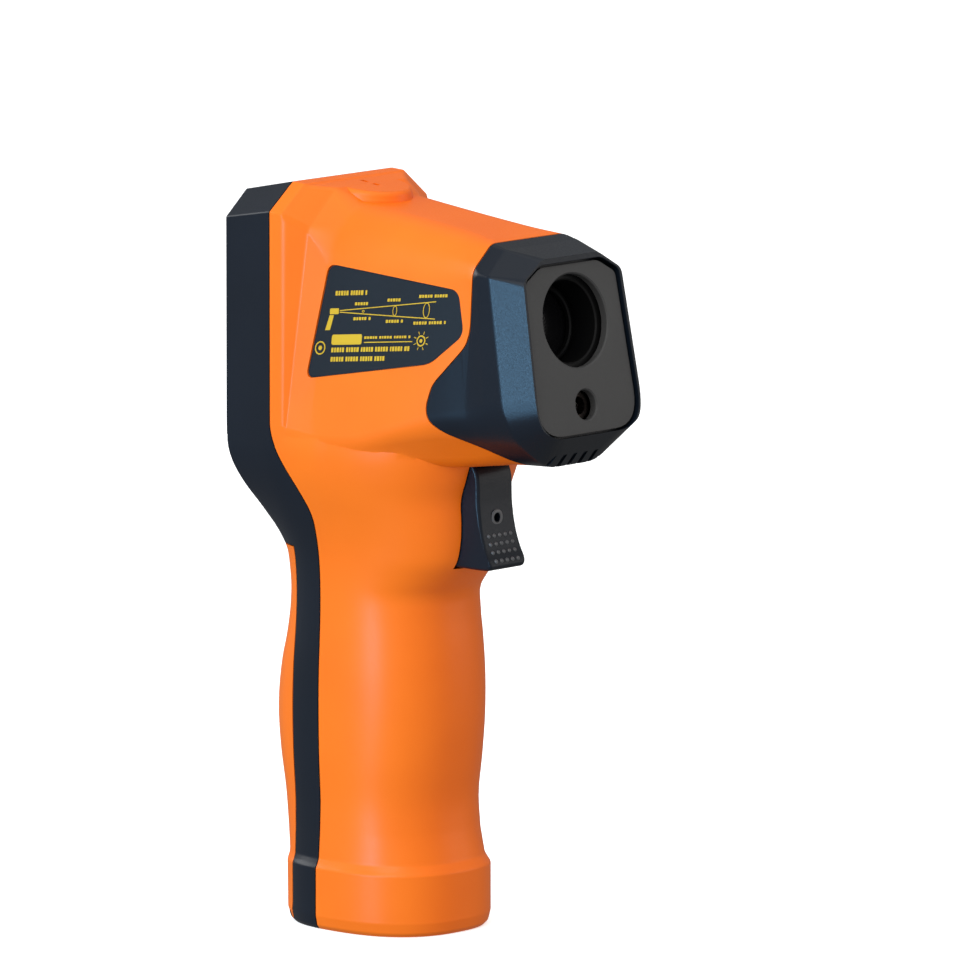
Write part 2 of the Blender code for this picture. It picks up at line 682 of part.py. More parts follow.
# ---- display, keys and boards ---------------------------------------------------------------

def make_display():
    window = prism_y(window_outline(0.0), REAR_FACE - 0.9, REAR_FACE - 0.1)
    part("display_window", window, "clear_window")
    part("lcd_panel", box(-15.4, 15.4, 23.2, 25.6, 123.4, 154.0), "lcd_glass")
    part("lcd_light_guide", box(-15.0, 15.0, 21.4, 22.9, 126.8, 153.8), "white_plastic")
    part("lcd_contact_strip", box(-14.0, 14.0, 21.4, 22.9, 123.6, 125.9), "rubber")


def make_main_board():
    part("main_board", box(-17.5, 17.5, 19.5, 21.1, 114.6, 155.0), "circuit_board")
    part("microcontroller", box(-5.0, 5.0, 17.7, 19.2, 131.0, 141.0), "black_plastic")
    buzzer = rod((9.5, 19.2, 122.0), (9.5, 14.2, 122.0), 4.5, 18)
    part("buzzer", buzzer, "black_plastic")
    part("memory_chip", box(-12.0, -7.0, 18.0, 19.2, 121.0, 125.0), "black_plastic")


def make_keys():
    for x, name in zip(KEY_X, ("key_left", "key_centre", "key_right")):
        rings = []
        for radius, y in ((4.3, 25.2), (4.3, 25.7), (3.35, 25.7), (3.35, 28.6), (3.0, 28.9)):
            rings.append([(x + u, y, KEY_Z + v) for u, v in circle(radius, 20)])
        part(name, loft(rings), "grey_plastic", (x, 25.2, KEY_Z))
        side = name.replace("key", "key_switch")
        part(side, box(x - 2.6, x + 2.6, 21.4, 24.2, KEY_Z - 0.6, KEY_Z + 2.6), "black_plastic")


# ---- power ----------------------------------------------------------------------------------

def make_cell(name, x, nub_up):
    low, high = CELL_BOTTOM, CELL_BOTTOM + CELL_LENGTH
    sizes = [(CELL_RADIUS, low), (CELL_RADIUS, high), (1.9, high), (1.9, high + 0.9)]
    if not nub_up:
        sizes = [(radius, low + high - z) for radius, z in sizes]
    rings = [[(x + u, CELL_Y + v, z) for u, v in circle(radius, 18)] for radius, z in sizes]
    part(name, loft(rings), "cell_sleeve")


def make_contacts():
    """Wall plates of the battery bay, each with a nub contact for one cell and a spring."""
    cell_low, cell_high = CELL_BOTTOM, CELL_BOTTOM + CELL_LENGTH
    nub = 0.9 + GAP
    for name, z0, z1, touch, x in (
            ("lower", 15.3, 15.8, cell_low - nub, CELL_X),
            ("upper", 69.7, 69.2, cell_high + nub, -CELL_X)):
        plate = box(-10.0, 10.0, CELL_Y - 2.4, CELL_Y + 2.4, min(z0, z1), max(z0, z1))
        middle = (z0 + z1) / 2
        join(plate, rod((x, CELL_Y, middle), (x, CELL_Y, touch), 1.6, 12))
        part("contact_plate_" + name, plate, "nickel")
        face = cell_low if name == "lower" else cell_high
        toward = 1 if name == "lower" else -1
        start = (-x, CELL_Y, z1 + toward * 0.6)
        end = (-x, CELL_Y, face - toward * 0.6)
        part("contact_spring_" + name, coil(start, end, 2.6, 0.25, 3), "steel")


# ---- fasteners ------------------------------------------------------------------------------

def make_screw(name, x, head_y, tip_y, z, head_radius=2.0):
    """Pan-head screw driven from the rear, with a cross recess cut as two slots."""
    sizes = ((head_radius * 0.7, head_y), (head_radius, head_y - 0.5), (head_radius, head_y - 1.3),
             (1.05, head_y - 1.3), (1.05, tip_y + 0.8), (0.5, tip_y))
    rings = [[(x + u, y, z + v) for u, v in circle(radius, 12)] for radius, y in sizes]
    screw = loft(rings)
    for wide, tall in ((1.1, 0.25), (0.25, 1.1)):
        cut(screw, box(x - wide, x + wide, head_y - 0.6, head_y + 1.0, z - tall, z + tall))
    part(name, screw, "steel")


def make_screws():
    for name, (x, z) in zip(("casing_screw_lower", "casing_screw_upper"), BAY_SCREWS):
        make_screw(name, x, 9.9, -6.5, z)
    for name, x in (("head_screw_left", HEAD_SCREW_X), ("head_screw_right", -HEAD_SCREW_X)):
        make_screw(name, x, 27.8, 7.0, HEAD_SCREW_Z)


def main():
    clear_scene()
    make_materials()
    shell = hollow_shell()
    make_front_casing(shell)
    make_nose_shroud(shell)
    make_rear_frame(shell)
    make_battery_cover(shell)
    bpy.data.objects.remove(shell)
    make_labels()
    pin = rod((-7.3, DOOR_PIVOT_Y, DOOR_PIVOT_Z), (7.3, DOOR_PIVOT_Y, DOOR_PIVOT_Z), 0.8)
    part("cover_hinge_pin", pin, "steel")
    make_trigger()
    make_trigger_switch()
    make_front_plate()
    make_optics()
    make_laser()
    make_display()
    make_main_board()
    make_keys()
    make_cell("battery_cell_right", -CELL_X, True)
    make_cell("battery_cell_left", CELL_X, False)
    make_contacts()
    make_screws()


main()
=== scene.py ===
"""Visual model of the infrared thermometer: fine pieces, finishes, lights and camera.

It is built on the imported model. Lengths are written in millimetres and turned into metres when
a piece is finished. The nose points along -Y, and "forward" (f) is the distance along -Y.
"""
import json
import math

import bmesh
import bpy
from mathutils import Matrix, Vector

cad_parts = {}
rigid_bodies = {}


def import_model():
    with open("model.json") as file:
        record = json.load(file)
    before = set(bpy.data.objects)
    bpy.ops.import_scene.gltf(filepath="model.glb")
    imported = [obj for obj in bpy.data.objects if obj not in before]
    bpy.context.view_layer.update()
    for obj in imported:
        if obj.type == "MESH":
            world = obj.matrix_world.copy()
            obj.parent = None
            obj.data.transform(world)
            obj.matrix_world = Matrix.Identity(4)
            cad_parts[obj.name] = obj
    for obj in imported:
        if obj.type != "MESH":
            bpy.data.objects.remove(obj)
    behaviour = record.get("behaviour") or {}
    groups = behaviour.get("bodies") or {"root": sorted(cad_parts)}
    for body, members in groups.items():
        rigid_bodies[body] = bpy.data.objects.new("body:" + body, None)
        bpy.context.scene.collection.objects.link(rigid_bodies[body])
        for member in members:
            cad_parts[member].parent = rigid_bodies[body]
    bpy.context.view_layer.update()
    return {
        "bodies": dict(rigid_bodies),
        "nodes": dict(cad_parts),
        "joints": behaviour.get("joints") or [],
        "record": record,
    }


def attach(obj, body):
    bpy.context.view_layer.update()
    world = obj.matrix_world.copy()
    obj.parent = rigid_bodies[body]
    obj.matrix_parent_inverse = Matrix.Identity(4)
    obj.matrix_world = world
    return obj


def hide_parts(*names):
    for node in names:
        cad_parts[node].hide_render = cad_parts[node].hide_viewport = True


MM = 0.001
GAP = 0.3                 # clearance between neighbouring pieces
WALL = 2.0                # casing wall
MERGE = 0.003             # points closer than this are one point after a Boolean
NOSE_TILT = 10.0          # the nose face and the optics look up by this angle, degrees
NOSE_FORWARD = 55.4       # rim plane of the nose at the height NOSE_HEIGHT
NOSE_HEIGHT = 135.0
COLLAR_HEIGHT = 14.3
HEAD_FLOOR = 106.9        # where the head box ends and the grip begins
REAR_FACE = 28.0          # y of the display face
REAR_HALF_WIDTH = 21.7
CREST_TOP = 162.6         # height of the top plane where the crest starts to fall
CREST_SLOPE = 0.12        # fall of that plane per millimetre towards the nose
SEAM_HEAD = 13.75         # y of the seam between front casing and rear frame, in the head
SEAM_GRIP = 4.5           # the same seam along the grip
COVER_EDGE = 13.3         # y of the seam between rear frame and battery cover
COVER_TOP = 83.0
DOOR_PIVOT_Y = 20.3
DOOR_PIVOT_Z = 3.1
TRIGGER_HALF_WIDTH = 5.7
TRIGGER_PIVOT_F = 24.0
TRIGGER_PIVOT_Z = 108.0
LENS_ALONG = 2.4          # lens axis, measured up the nose face from NOSE_HEIGHT
LASER_ALONG = -15.8
LENS_RADIUS = 10.1
LASER_RADIUS = 3.25
PLATE_RECESS = 0.8
PLATE_GROOVE = 0.7        # open groove between the front plate and the rim of the nose
PLATE_THICKNESS = 1.8
LCD_BOTTOM = 124.5
LCD_TOP = 153.0
LCD_FACE = 25.6           # y of the front of the display glass
KEY_X = (-10.5, 0.0, 10.5)
KEY_Z = 115.5
BAY_SCREWS = ((0.0, 9.0), (0.0, 75.5))
HEAD_SCREW_X = 17.6
HEAD_SCREW_Z = 111.0
EYELET_Z = 92.2           # height of the eyelet in the trigger
VENT_SLOTS = (-7.2, -3.8)  # forward positions of the two slots in the round boss

CAMERA_AZIMUTH = -47.5    # degrees from the nose direction, towards the labelled side
CAMERA_ELEVATION = 9.0
CAMERA_DISTANCE = 3.0     # metres
CAMERA_AIM = (0.0, -12.0, 84.0)
CAMERA_LENS = 519.7
CAMERA_SHIFT = (0.052, 0.068)
FLOOR_GLOW = 0.6          # the paper under the object gives off some light

# Grip stations: height, forward reach, rear reach, half width, boxiness of the rear corners.
GRIP = (
    (0.0, 20.6, 20.6, 17.7, 0.0),
    (0.8, 21.4, 21.4, 18.5, 0.0),
    (3.0, 21.9, 22.0, 19.0, 0.0),
    (COLLAR_HEIGHT - 0.8, 21.9, 22.2, 19.0, 0.0),
    (COLLAR_HEIGHT, 21.4, 22.0, 18.5, 0.0),
    (15.5, 20.6, 22.1, 18.0, 0.0),
    (21.0, 19.3, 22.8, 17.6, 0.0),
    (28.0, 18.8, 23.8, 17.4, 0.0),
    (37.0, 19.8, 25.3, 17.8, 0.0),
    (47.0, 20.7, 26.0, 18.0, 0.0),
    (57.0, 20.7, 24.8, 17.9, 0.0),
    (64.0, 20.2, 23.0, 17.6, 0.0),
    (70.0, 19.5, 22.1, 17.4, 0.0),
    (74.5, 19.6, 22.0, 17.4, 0.0),
    (78.0, 22.4, 22.4, 17.5, 0.0),
    (82.0, 25.8, 22.9, 17.8, 0.05),
    (86.0, 27.0, 24.3, 18.4, 0.2),
    (91.0, 27.2, 26.3, 19.6, 0.5),
    (96.0, 27.0, 27.5, 21.1, 0.8),
    (101.0, 28.6, 27.9, 22.3, 0.97),
    (HEAD_FLOOR, 30.4, 27.98, 22.9, 1.0),
    (112.0, 31.0, 27.4, 22.0, 1.0),
)
GRIP_POWER = 2.5

# Head stations: forward position at NOSE_HEIGHT, tilt, then the (x, z) corners of the right half
# (top edge, shoulder, lower crease, bottom edge) and how much of each corner is rounded away.
HEAD = (
    (-28.0, 0.0, (15.2, 159.8), (21.7, 154.3), (21.7, 110.0), (21.6, 106.6), (0.3, 0.3, 0.3, 0.3)),
    (-13.7, 0.0, (15.9, 162.7), (23.3, 156.8), (23.3, 110.0), (23.2, 106.6), (0.3, 0.3, 0.3, 0.3)),
    (-10.3, 0.0, (15.9, 162.5), (23.3, 156.5), (23.3, 110.0), (23.2, 106.6), (0.3, 0.3, 0.3, 0.3)),
    (-9.6, 0.0, (15.3, 162.1), (22.9, 155.9), (23.3, 110.0), (23.1, 106.6), (1.0, 1.0, 0.6, 0.3)),
    (-7.2, -4.2, (11.2, 161.6), (19.4, 153.3), (23.25, 109.5), (23.0, 106.4), (1.0, 1.0, 0.8, 0.6)),
    (-1.5, -2.0, (10.8, 158.8), (18.3, 150.8), (23.1, 108.4), (22.4, 105.4), (4.0, 5.0, 1.2, 1.0)),
    (12.0, 0.0, (10.6, 157.3), (17.9, 149.6), (22.9, 109.0), (20.5, 104.3), (4.0, 5.0, 2.0, 2.0)),
    (24.0, 0.0, (10.6, 155.9), (17.6, 148.9), (22.3, 112.0), (14.0, 103.4), (4.0, 4.6, 3.0, 4.0)),
    (34.0, 1.0, (10.9, 154.7), (17.3, 148.7), (21.2, 114.1), (10.5, 104.4), (3.5, 3.8, 4.0, 4.0)),
    (40.4, 4.0, (11.4, 154.0), (17.3, 148.4), (20.0, 114.4), (9.5, 105.4), (2.5, 2.6, 5.0, 4.5)),
    (43.4, 7.0, (11.6, 153.5), (17.9, 147.9), (19.9, 114.7), (9.3, 105.7), (0.7, 0.7, 6.0, 5.0)),
    (47.8, 11.0, (11.5, 152.7), (18.1, 147.6), (19.8, 114.9), (9.0, 105.9), (0.4, 0.4, 7.0, 6.0)),
    (NOSE_FORWARD, 10.0, (8.9, 151.1), (15.7, 147.0), (16.9, 116.4), (12.4, 113.2), (1.4, 1.4, 6.5, 4.5)),
)

# Side view of the seam between casing and nose shroud, as (forward, height) from top to bottom.
NOSE_SEAM = (
    (40.4, 170.0), (40.4, 135.5), (39.5, 132.2), (34.5, 126.7), (31.3, 123.2), (30.0, 118.2),
    (31.0, 115.3), (34.1, 113.1), (40.3, 110.3), (45.0, 107.6), (48.6, 105.2), (50.7, 100.0),
)

# Front plate outline on the nose face as (x, along) points, and the cuts at its corners.
PLATE_CORNERS = ((9.0, 14.4), (14.2, 11.4), (15.7, -21.6))
PLATE_CUTS = (1.2, 1.2, 8.0)

# Side label corners as (forward, height), and the slope of its rows, parallel to the nose axis.
LABEL_CORNERS = ((-0.2, 146.2), (36.3, 143.7), (38.5, 134.5), (29.9, 127.5), (-4.3, 121.3))
LABEL_CENTRE = Vector((17.0, 134.5))
LABEL_RISE = 0.107

# Grip notches under the nose: side view outline, number and distance between them.
NOTCH_SIDE = (
    (50.0, 104.0), (50.0, 105.7), (53.0, 106.6), (55.6, 108.9), (57.0, 108.9), (57.0, 104.0),
)
NOTCH_COUNT = 6
NOTCH_STEP = 3.3

# Side view outline of the trigger as (forward, height).
TRIGGER_SIDE = (
    (28.8, 105.2), (30.3, 103.0), (31.0, 101.0), (31.2, 95.0), (31.7, 91.0), (32.4, 88.0),
    (33.4, 85.2), (34.7, 82.9), (34.8, 81.9), (34.0, 81.2), (30.5, 81.1), (21.5, 81.2),
    (20.9, 90.0), (20.5, 100.0), (20.8, 107.2), (22.2, 110.2), (24.6, 111.0), (27.0, 109.3),
)


def shape_from(bm):
    """Wrap a bmesh in a temporary object, with its faces pointing out."""
    bmesh.ops.recalc_face_normals(bm, faces=bm.faces)
    mesh = bpy.data.meshes.new("shape")
    bm.to_mesh(mesh)
    bm.free()
    shape = bpy.data.objects.new("shape", mesh)
    bpy.context.scene.collection.objects.link(shape)
    return shape


def gathered(shapes):
    """Several shapes as one, without joining their surfaces."""
    bm = bmesh.new()
    for shape in shapes:
        bm.from_mesh(shape.data)
        bpy.data.objects.remove(shape)
    return shape_from(bm)


def loft(rings, closed=False):
    """Skin rings of equal length: capped at both ends, or closed round into a ring-shaped body."""
    bm = bmesh.new()
    rows = [[bm.verts.new(point) for point in ring] for ring in rings]
    following = rows[1:] + rows[:1] if closed else rows[1:]
    count = len(rings[0])
    for low, high in zip(rows, following):
        for i in range(count):
            j = (i + 1) % count
            bm.faces.new((low[i], low[j], high[j], high[i]))
    if not closed:
        bm.faces.new(rows[0])
        bm.faces.new(rows[-1])
    return shape_from(bm)


def rectangle(x0, y0, x1, y1):
    return [(x0, y0), (x1, y0), (x1, y1), (x0, y1)]


def box(x0, x1, y0, y1, z0, z1):
    """Block between two corners."""
    return loft([[(x, y, z) for x, y in rectangle(x0, y0, x1, y1)] for z in (z0, z1)])


def prism_x(outline, x0, x1):
    """Side-view outline of (forward, height) points, extruded across the object."""
    return loft([[(x, -f, z) for f, z in outline] for x in (x0, x1)])


def prism_y(outline, y0, y1):
    """Rear-view outline of (x, z) points, extruded front to back."""
    return loft([[(x, y, z) for x, z in outline] for y in (y0, y1)])


def nose_point(x, along, out):
    """Point in the tilted frame of the nose face: across, up the face, and out of the face."""
    tilt = math.radians(NOSE_TILT)
    forward = NOSE_FORWARD + out * math.cos(tilt) - along * math.sin(tilt)
    height = NOSE_HEIGHT + out * math.sin(tilt) + along * math.cos(tilt)
    return (x, -forward, height)


def nose_prism(outline, out0, out1):
    """Outline of (x, along) points in the nose face, extruded along the optical axis."""
    return loft([[nose_point(x, along, out) for x, along in outline] for out in (out0, out1)])


def circle(radius, count, cx=0.0, cy=0.0):
    angles = [2 * math.pi * i / count for i in range(count)]
    return [(cx + radius * math.cos(a), cy + radius * math.sin(a)) for a in angles]


def nose_rings(profile, along, count):
    """Rings about an optical axis, for a profile of (radius, out) points."""
    return [[nose_point(x, s, out) for x, s in circle(radius, count, 0.0, along)]
            for radius, out in profile]


def rod(start, end, radius, count):
    """Solid cylinder between two points."""
    start, end = Vector(start), Vector(end)
    turn = (end - start).to_track_quat("Z", "Y")
    flat = [turn @ Vector((x, y, 0)) for x, y in circle(radius, count)]
    return loft([[point + centre for point in flat] for centre in (start, end)])


def combine(target, other, operation):
    """Apply a Boolean between two shapes; the second one is used up."""
    modifier = target.modifiers.new("combine", "BOOLEAN")
    modifier.operation = operation
    modifier.solver = "EXACT"
    modifier.object = other
    bpy.context.view_layer.update()
    graph = bpy.context.evaluated_depsgraph_get()
    bm = bmesh.new()
    bm.from_object(target, graph)
    bmesh.ops.remove_doubles(bm, verts=bm.verts, dist=MERGE)
    bmesh.ops.dissolve_degenerate(bm, edges=bm.edges, dist=MERGE)
    target.modifiers.clear()
    target.data = bpy.data.meshes.new("shape")
    bm.to_mesh(target.data)
    bm.free()
    bpy.data.objects.remove(other)
    return target


def cut(target, *others):
    for other in others:
        combine(target, other, "DIFFERENCE")
    return target


def join(target, *others):
    for other in others:
        combine(target, other, "UNION")
    return target


def keep(target, other):
    return combine(target, other, "INTERSECT")


def copy_of(shape):
    duplicate = shape.copy()
    duplicate.data = shape.data.copy()
    bpy.context.scene.collection.objects.link(duplicate)
    return duplicate


# ---- fine outline of the casing -------------------------------------------------------------

def flat_values(station):
    """All numbers of a station in one list."""
    values = []
    for item in station:
        values += item if isinstance(item, tuple) else [item]
    return values


def like(station, values):
    """A station of the same form as another one, holding the given numbers."""
    values = list(values)
    return tuple(tuple(values.pop(0) for _ in item) if isinstance(item, tuple) else values.pop(0)
                 for item in station)


def slopes(rows):
    """Slope of every value at every row, for a smooth curve through the rows."""
    steps = [[(b - a) / (high[0] - low[0]) for a, b in zip(low, high)]
             for low, high in zip(rows, rows[1:])]
    result = [steps[0]]
    for i in range(1, len(rows) - 1):
        before = rows[i][0] - rows[i - 1][0]
        after = rows[i + 1][0] - rows[i][0]
        result.append([(a * after + b * before) / (before + after)
                       for a, b in zip(steps[i - 1], steps[i])])
    return result + [steps[-1]]


def smooth_run(stations, splits):
    """Stations on a smooth curve through the given ones."""
    rows = [flat_values(station) for station in stations]
    tangents = slopes(rows)
    fine = []
    for i in range(len(rows) - 1):
        reach = rows[i + 1][0] - rows[i][0]
        for k in range(splits):
            t = k / splits
            h00, h10 = 2 * t**3 - 3 * t**2 + 1, t**3 - 2 * t**2 + t
            h01, h11 = -2 * t**3 + 3 * t**2, t**3 - t**2
            fine.append(like(stations[0], [
                h00 * a + h10 * reach * m + h01 * b + h11 * reach * n
                for a, m, b, n in zip(rows[i], tangents[i], rows[i + 1], tangents[i + 1])]))
    return fine + [stations[-1]]


def soft_bends(stations, reach):
    """The same run of stations with every bend between them turned into a small curve."""
    rows = [flat_values(station) for station in stations]
    fine = [stations[0]]
    for before, here, after in zip(rows, rows[1:], rows[2:]):
        back = min(0.45, reach / abs(here[0] - before[0]))
        ahead = min(0.45, reach / abs(after[0] - here[0]))
        for t in (0.0, 0.33, 0.67, 1.0):
            fine.append(like(stations[0], [
                (h + (b - h) * back) * (1 - t) ** 2 + h * 2 * t * (1 - t) + (h + (a - h) * ahead) * t ** 2
                for b, h, a in zip(before, here, after)]))
    return fine + [stations[-1]]


def fine_grip():
    """Grip stations: small bends at the collar, one smooth curve above it."""
    return soft_bends(GRIP[:7], 0.3)[:-1] + smooth_run(GRIP[6:], 4)


def fine_head():
    """Head stations: a crisp crest at the rear, a smooth barrel, and crisp chamfers at the nose."""
    crest = soft_bends(HEAD[:6], 0.3)[:-1]
    barrel = smooth_run(HEAD[5:10], 5)
    nose = soft_bends(HEAD[9:], 0.5)
    return crest + barrel[:-1] + nose


def grip_angles():
    """Directions of a grip ring's points; two of them meet the rear corners of the head."""
    corner = math.degrees(math.atan2(REAR_FACE, REAR_HALF_WIDTH))
    angles = []
    for step in range(0, 720, 9):
        if step == 108:
            angles.append(math.radians(corner))
        elif step == 252:
            angles.append(math.radians(180 - corner))
        else:
            angles.append(math.radians(step / 2))
    return angles


def grip_ring(station, inset):
    """Horizontal section of the grip: oval below, turning into the head's box at the rear."""
    height, front, rear, width, boxiness = station
    front, rear, width = front - inset, rear - inset, width - inset
    draft = 1.6 / (REAR_FACE - SEAM_HEAD)
    side = width + 0.3
    ring = []
    for angle in grip_angles():
        c, s = abs(math.cos(angle)), math.sin(angle)
        reach = rear if s > 0 else front
        oval = ((c / width) ** GRIP_POWER + (abs(s) / reach) ** GRIP_POWER) ** (-1 / GRIP_POWER)
        radius = oval
        if s > 0 and boxiness > 0:
            flank = min(side / max(c, 1e-6), (side + draft * SEAM_HEAD) / (c + draft * s))
            radius = oval + boxiness * (min(flank, rear / s) - oval)
        ring.append((radius * math.cos(angle), radius * s, height))
    return ring


def grip(inset=0.0):
    stations = fine_grip()
    if inset:
        floor = (inset, *GRIP[2][1:])
        stations = [floor] + [station for station in stations if station[0] > 4.0]
    return loft([grip_ring(station, inset) for station in stations])


def rounded_corner(before, corner, after, distance, steps=8):
    """Points of a curve that cuts a corner at the given distance, at most half of each side."""
    corner = Vector(corner)
    back = Vector(before) - corner
    ahead = Vector(after) - corner
    start = corner + back.normalized() * min(distance, 0.48 * back.length)
    end = corner + ahead.normalized() * min(distance, 0.48 * ahead.length)
    return [start * (1 - t) ** 2 + corner * 2 * t * (1 - t) + end * t ** 2
            for t in [i / steps for i in range(steps + 1)]]


def eased_outline(corners, distance, steps=8):
    """Closed outline with every corner rounded."""
    outline = []
    for i, corner in enumerate(corners):
        after = corners[(i + 1) % len(corners)]
        outline += rounded_corner(corners[i - 1], corner, after, distance, steps)
    return outline


def symmetric_outline(corners, cuts):
    """Closed outline from the right half's corners, top to bottom, mirrored to the left."""
    corners = [Vector(corner) for corner in corners]
    top = Vector((0.0, corners[0].y))
    bottom = Vector((0.0, corners[-1].y))
    chain = [top] + corners + [bottom]
    half = []
    for i, distance in enumerate(cuts):
        half += rounded_corner(chain[i], chain[i + 1], chain[i + 2], distance)
    left = [Vector((-point.x, point.y)) for point in reversed(half)]
    return [top] + half + [bottom] + left


def head_ring(station, inset):
    """Section of the head in a plane that leans with the nose."""
    forward, tilt, top, shoulder, crease, floor, cuts = station
    corners = (
        (top[0] - 0.4 * inset, top[1] - inset),
        (shoulder[0] - inset, shoulder[1] - 0.4 * inset),
        (crease[0] - inset, crease[1] + 0.15 * inset),
        (floor[0] - 0.75 * inset, floor[1] + inset),
    )
    lean = math.tan(math.radians(tilt))
    return [(x, -(forward + (NOSE_HEIGHT - z) * lean), z)
            for x, z in symmetric_outline(corners, cuts)]


def head(inset=0.0):
    """Loft of the head from the display face to the nose rim."""
    stations = fine_head()
    if inset > 1.0:
        rear = (HEAD[0][0] + inset, *HEAD[0][1:])
        stations = [rear] + stations[1:-1]
    return loft([head_ring(station, inset) for station in stations])


def vent_boss():
    """Round boss on top of the head, with a sloping top flush with the crest."""
    forward, radius = -5.0, 8.7
    rings = []
    for size, rise in ((1.2, -9.0), (0.0, -1.0), (-0.1, -0.6), (-0.4, -0.25), (-0.8, 0.0)):
        ring = []
        for x, df in circle(radius + size, 64):
            top = CREST_TOP - CREST_SLOPE * (forward + df - HEAD[1][0]) - 0.02
            ring.append((x, -(forward + df), 150.0 if rise < -5 else top + rise))
        rings.append(ring)
    return loft(rings)


# ---- seams ----------------------------------------------------------------------------------

def seam_y(height):
    """Y of the seam between front casing and rear frame: straight, swept back at the head."""
    t = min(max((height - 89.0) / (111.0 - 89.0), 0.0), 1.0)
    return SEAM_GRIP + (SEAM_HEAD - SEAM_GRIP) * t * t * (3 - 2 * t)


def seam_points(offset):
    """Side-view points (forward, height) of the seam, moved back by an offset."""
    heights = [-5.0] + [89.0 + 22.0 * i / 24 for i in range(25)] + [175.0]
    return [(-(seam_y(height) + offset), height) for height in heights]


def region_front():
    return prism_x(seam_points(-GAP / 2) + [(90.0, 175.0), (90.0, -5.0)], -40, 40)


def region_rear():
    return prism_x(seam_points(GAP / 2) + [(-60.0, 175.0), (-60.0, -5.0)], -40, 40)


def region_nose(offset):
    """Space in front of the seam between casing and nose shroud, with its corners eased."""
    points = [Vector((f + offset, z)) for f, z in NOSE_SEAM]
    eased = [points[0]]
    for before, corner, after in zip(points, points[1:], points[2:]):
        eased += rounded_corner(before, corner, after, 1.6, 4)
    return prism_x(eased + [points[-1], (90.0, 100.0), (90.0, 165.0)], -40, 40)


def region_cover(offset):
    """Space behind the seam between rear frame and battery cover."""
    edge = COVER_EDGE + offset
    top = COVER_TOP - offset
    outline = [(-edge, 5.0), (-edge, top), (-60.0, top), (-60.0, -5.0), (-edge - 1.3, -5.0)]
    return prism_x(outline, -40, 40)


def plate_outline(grow):
    corners = [(x + grow, along + (grow if along > 0 else -grow)) for x, along in PLATE_CORNERS]
    return symmetric_outline(corners, PLATE_CUTS)


def label_outline(grow):
    """Side-view outline of a side label, with rounded corners."""
    corners = []
    for corner in LABEL_CORNERS:
        away = Vector(corner) - LABEL_CENTRE
        corners.append(LABEL_CENTRE + away * (1 + grow / away.length))
    return eased_outline(corners, 2.2)


def window_outline(grow):
    half = 15.2 + grow
    corners = ((half, LCD_TOP + 1.2 + grow), (half, LCD_BOTTOM - 1.2 - grow))
    return symmetric_outline(corners, (2.0, 2.0))


# ---- finishes -------------------------------------------------------------------------------

FINISHES = {}

# Plastics: name, the two colours that drift into each other, roughness, size and depth of the
# grain in millimetres, and the specular level where it is not the usual one.
PLASTICS = (
    ("orange_plastic", (0.90, 0.155, 0.003), (0.93, 0.168, 0.004), 0.40, 0.35, 0.004, 0.3),
    ("navy_plastic", (0.0034, 0.0066, 0.0120), (0.0042, 0.0078, 0.0138), 0.34, 0.35, 0.004, 0.22),
    ("grey_plastic", (0.044, 0.044, 0.044), (0.050, 0.050, 0.050), 0.48, 0.3, 0.005, 0.3),
    ("black_plastic", (0.0022, 0.0022, 0.0025), (0.003, 0.003, 0.003), 0.5, 0.3, 0.006, 0.14),
    ("label_film", (0.0050, 0.0092, 0.0140), (0.0058, 0.0106, 0.0160), 0.36, 0.6, 0.003, 0.3),
    ("label_print", (0.56, 0.33, 0.004), (0.62, 0.38, 0.006), 0.4, 0.25, 0.003),
    ("lcd_glass", (0.33, 0.38, 0.31), (0.35, 0.40, 0.33), 0.16, 6.0, 0.002),
    ("lcd_segment", (0.018, 0.022, 0.02), (0.024, 0.028, 0.026), 0.25, 2.0, 0.001),
    ("lcd_idle", (0.27, 0.31, 0.255), (0.28, 0.32, 0.265), 0.2, 2.0, 0.001),
    ("key_print", (0.62, 0.63, 0.62), (0.68, 0.69, 0.68), 0.45, 0.4, 0.003),
    ("white_plastic", (0.72, 0.72, 0.69), (0.76, 0.76, 0.73), 0.4, 0.5, 0.004),
    ("trigger_grey", (0.080, 0.084, 0.090), (0.092, 0.096, 0.102), 0.4, 0.3, 0.004),
    ("rubber", (0.016, 0.016, 0.016), (0.024, 0.023, 0.022), 0.8, 0.2, 0.012),
)

# Metals: name, two colours, roughness, and the stretch of the lines along each axis.
METALS = (
    ("steel", (0.52, 0.52, 0.53), (0.66, 0.66, 0.66), 0.3, (1.0, 0.1, 1.0)),
    ("nickel", (0.62, 0.60, 0.56), (0.74, 0.72, 0.68), 0.25, (0.1, 1.0, 1.0)),
    ("dark_metal", (0.035, 0.028, 0.026), (0.06, 0.05, 0.045), 0.4, (1.0, 0.2, 1.0)),
)

# Sleeve of a battery cell: height in decimetres where each band starts, and its colour.
CELL_BANDS = (
    (0.0, (0.55, 0.53, 0.50)), (0.208, (0.03, 0.035, 0.04)), (0.30, (0.62, 0.60, 0.56)),
    (0.32, (0.02, 0.14, 0.26)), (0.655, (0.55, 0.53, 0.50)),
)


def set_inputs(tree, node, values):
    """Fill a node's inputs: an output of another node is linked, anything else is a value."""
    for key, value in values.items():
        if isinstance(value, bpy.types.NodeSocket):
            tree.links.new(value, node.inputs[key])
        else:
            node.inputs[key].default_value = value


def add_node(tree, kind, values):
    node = tree.nodes.new("ShaderNode" + kind)
    set_inputs(tree, node, values)
    return node


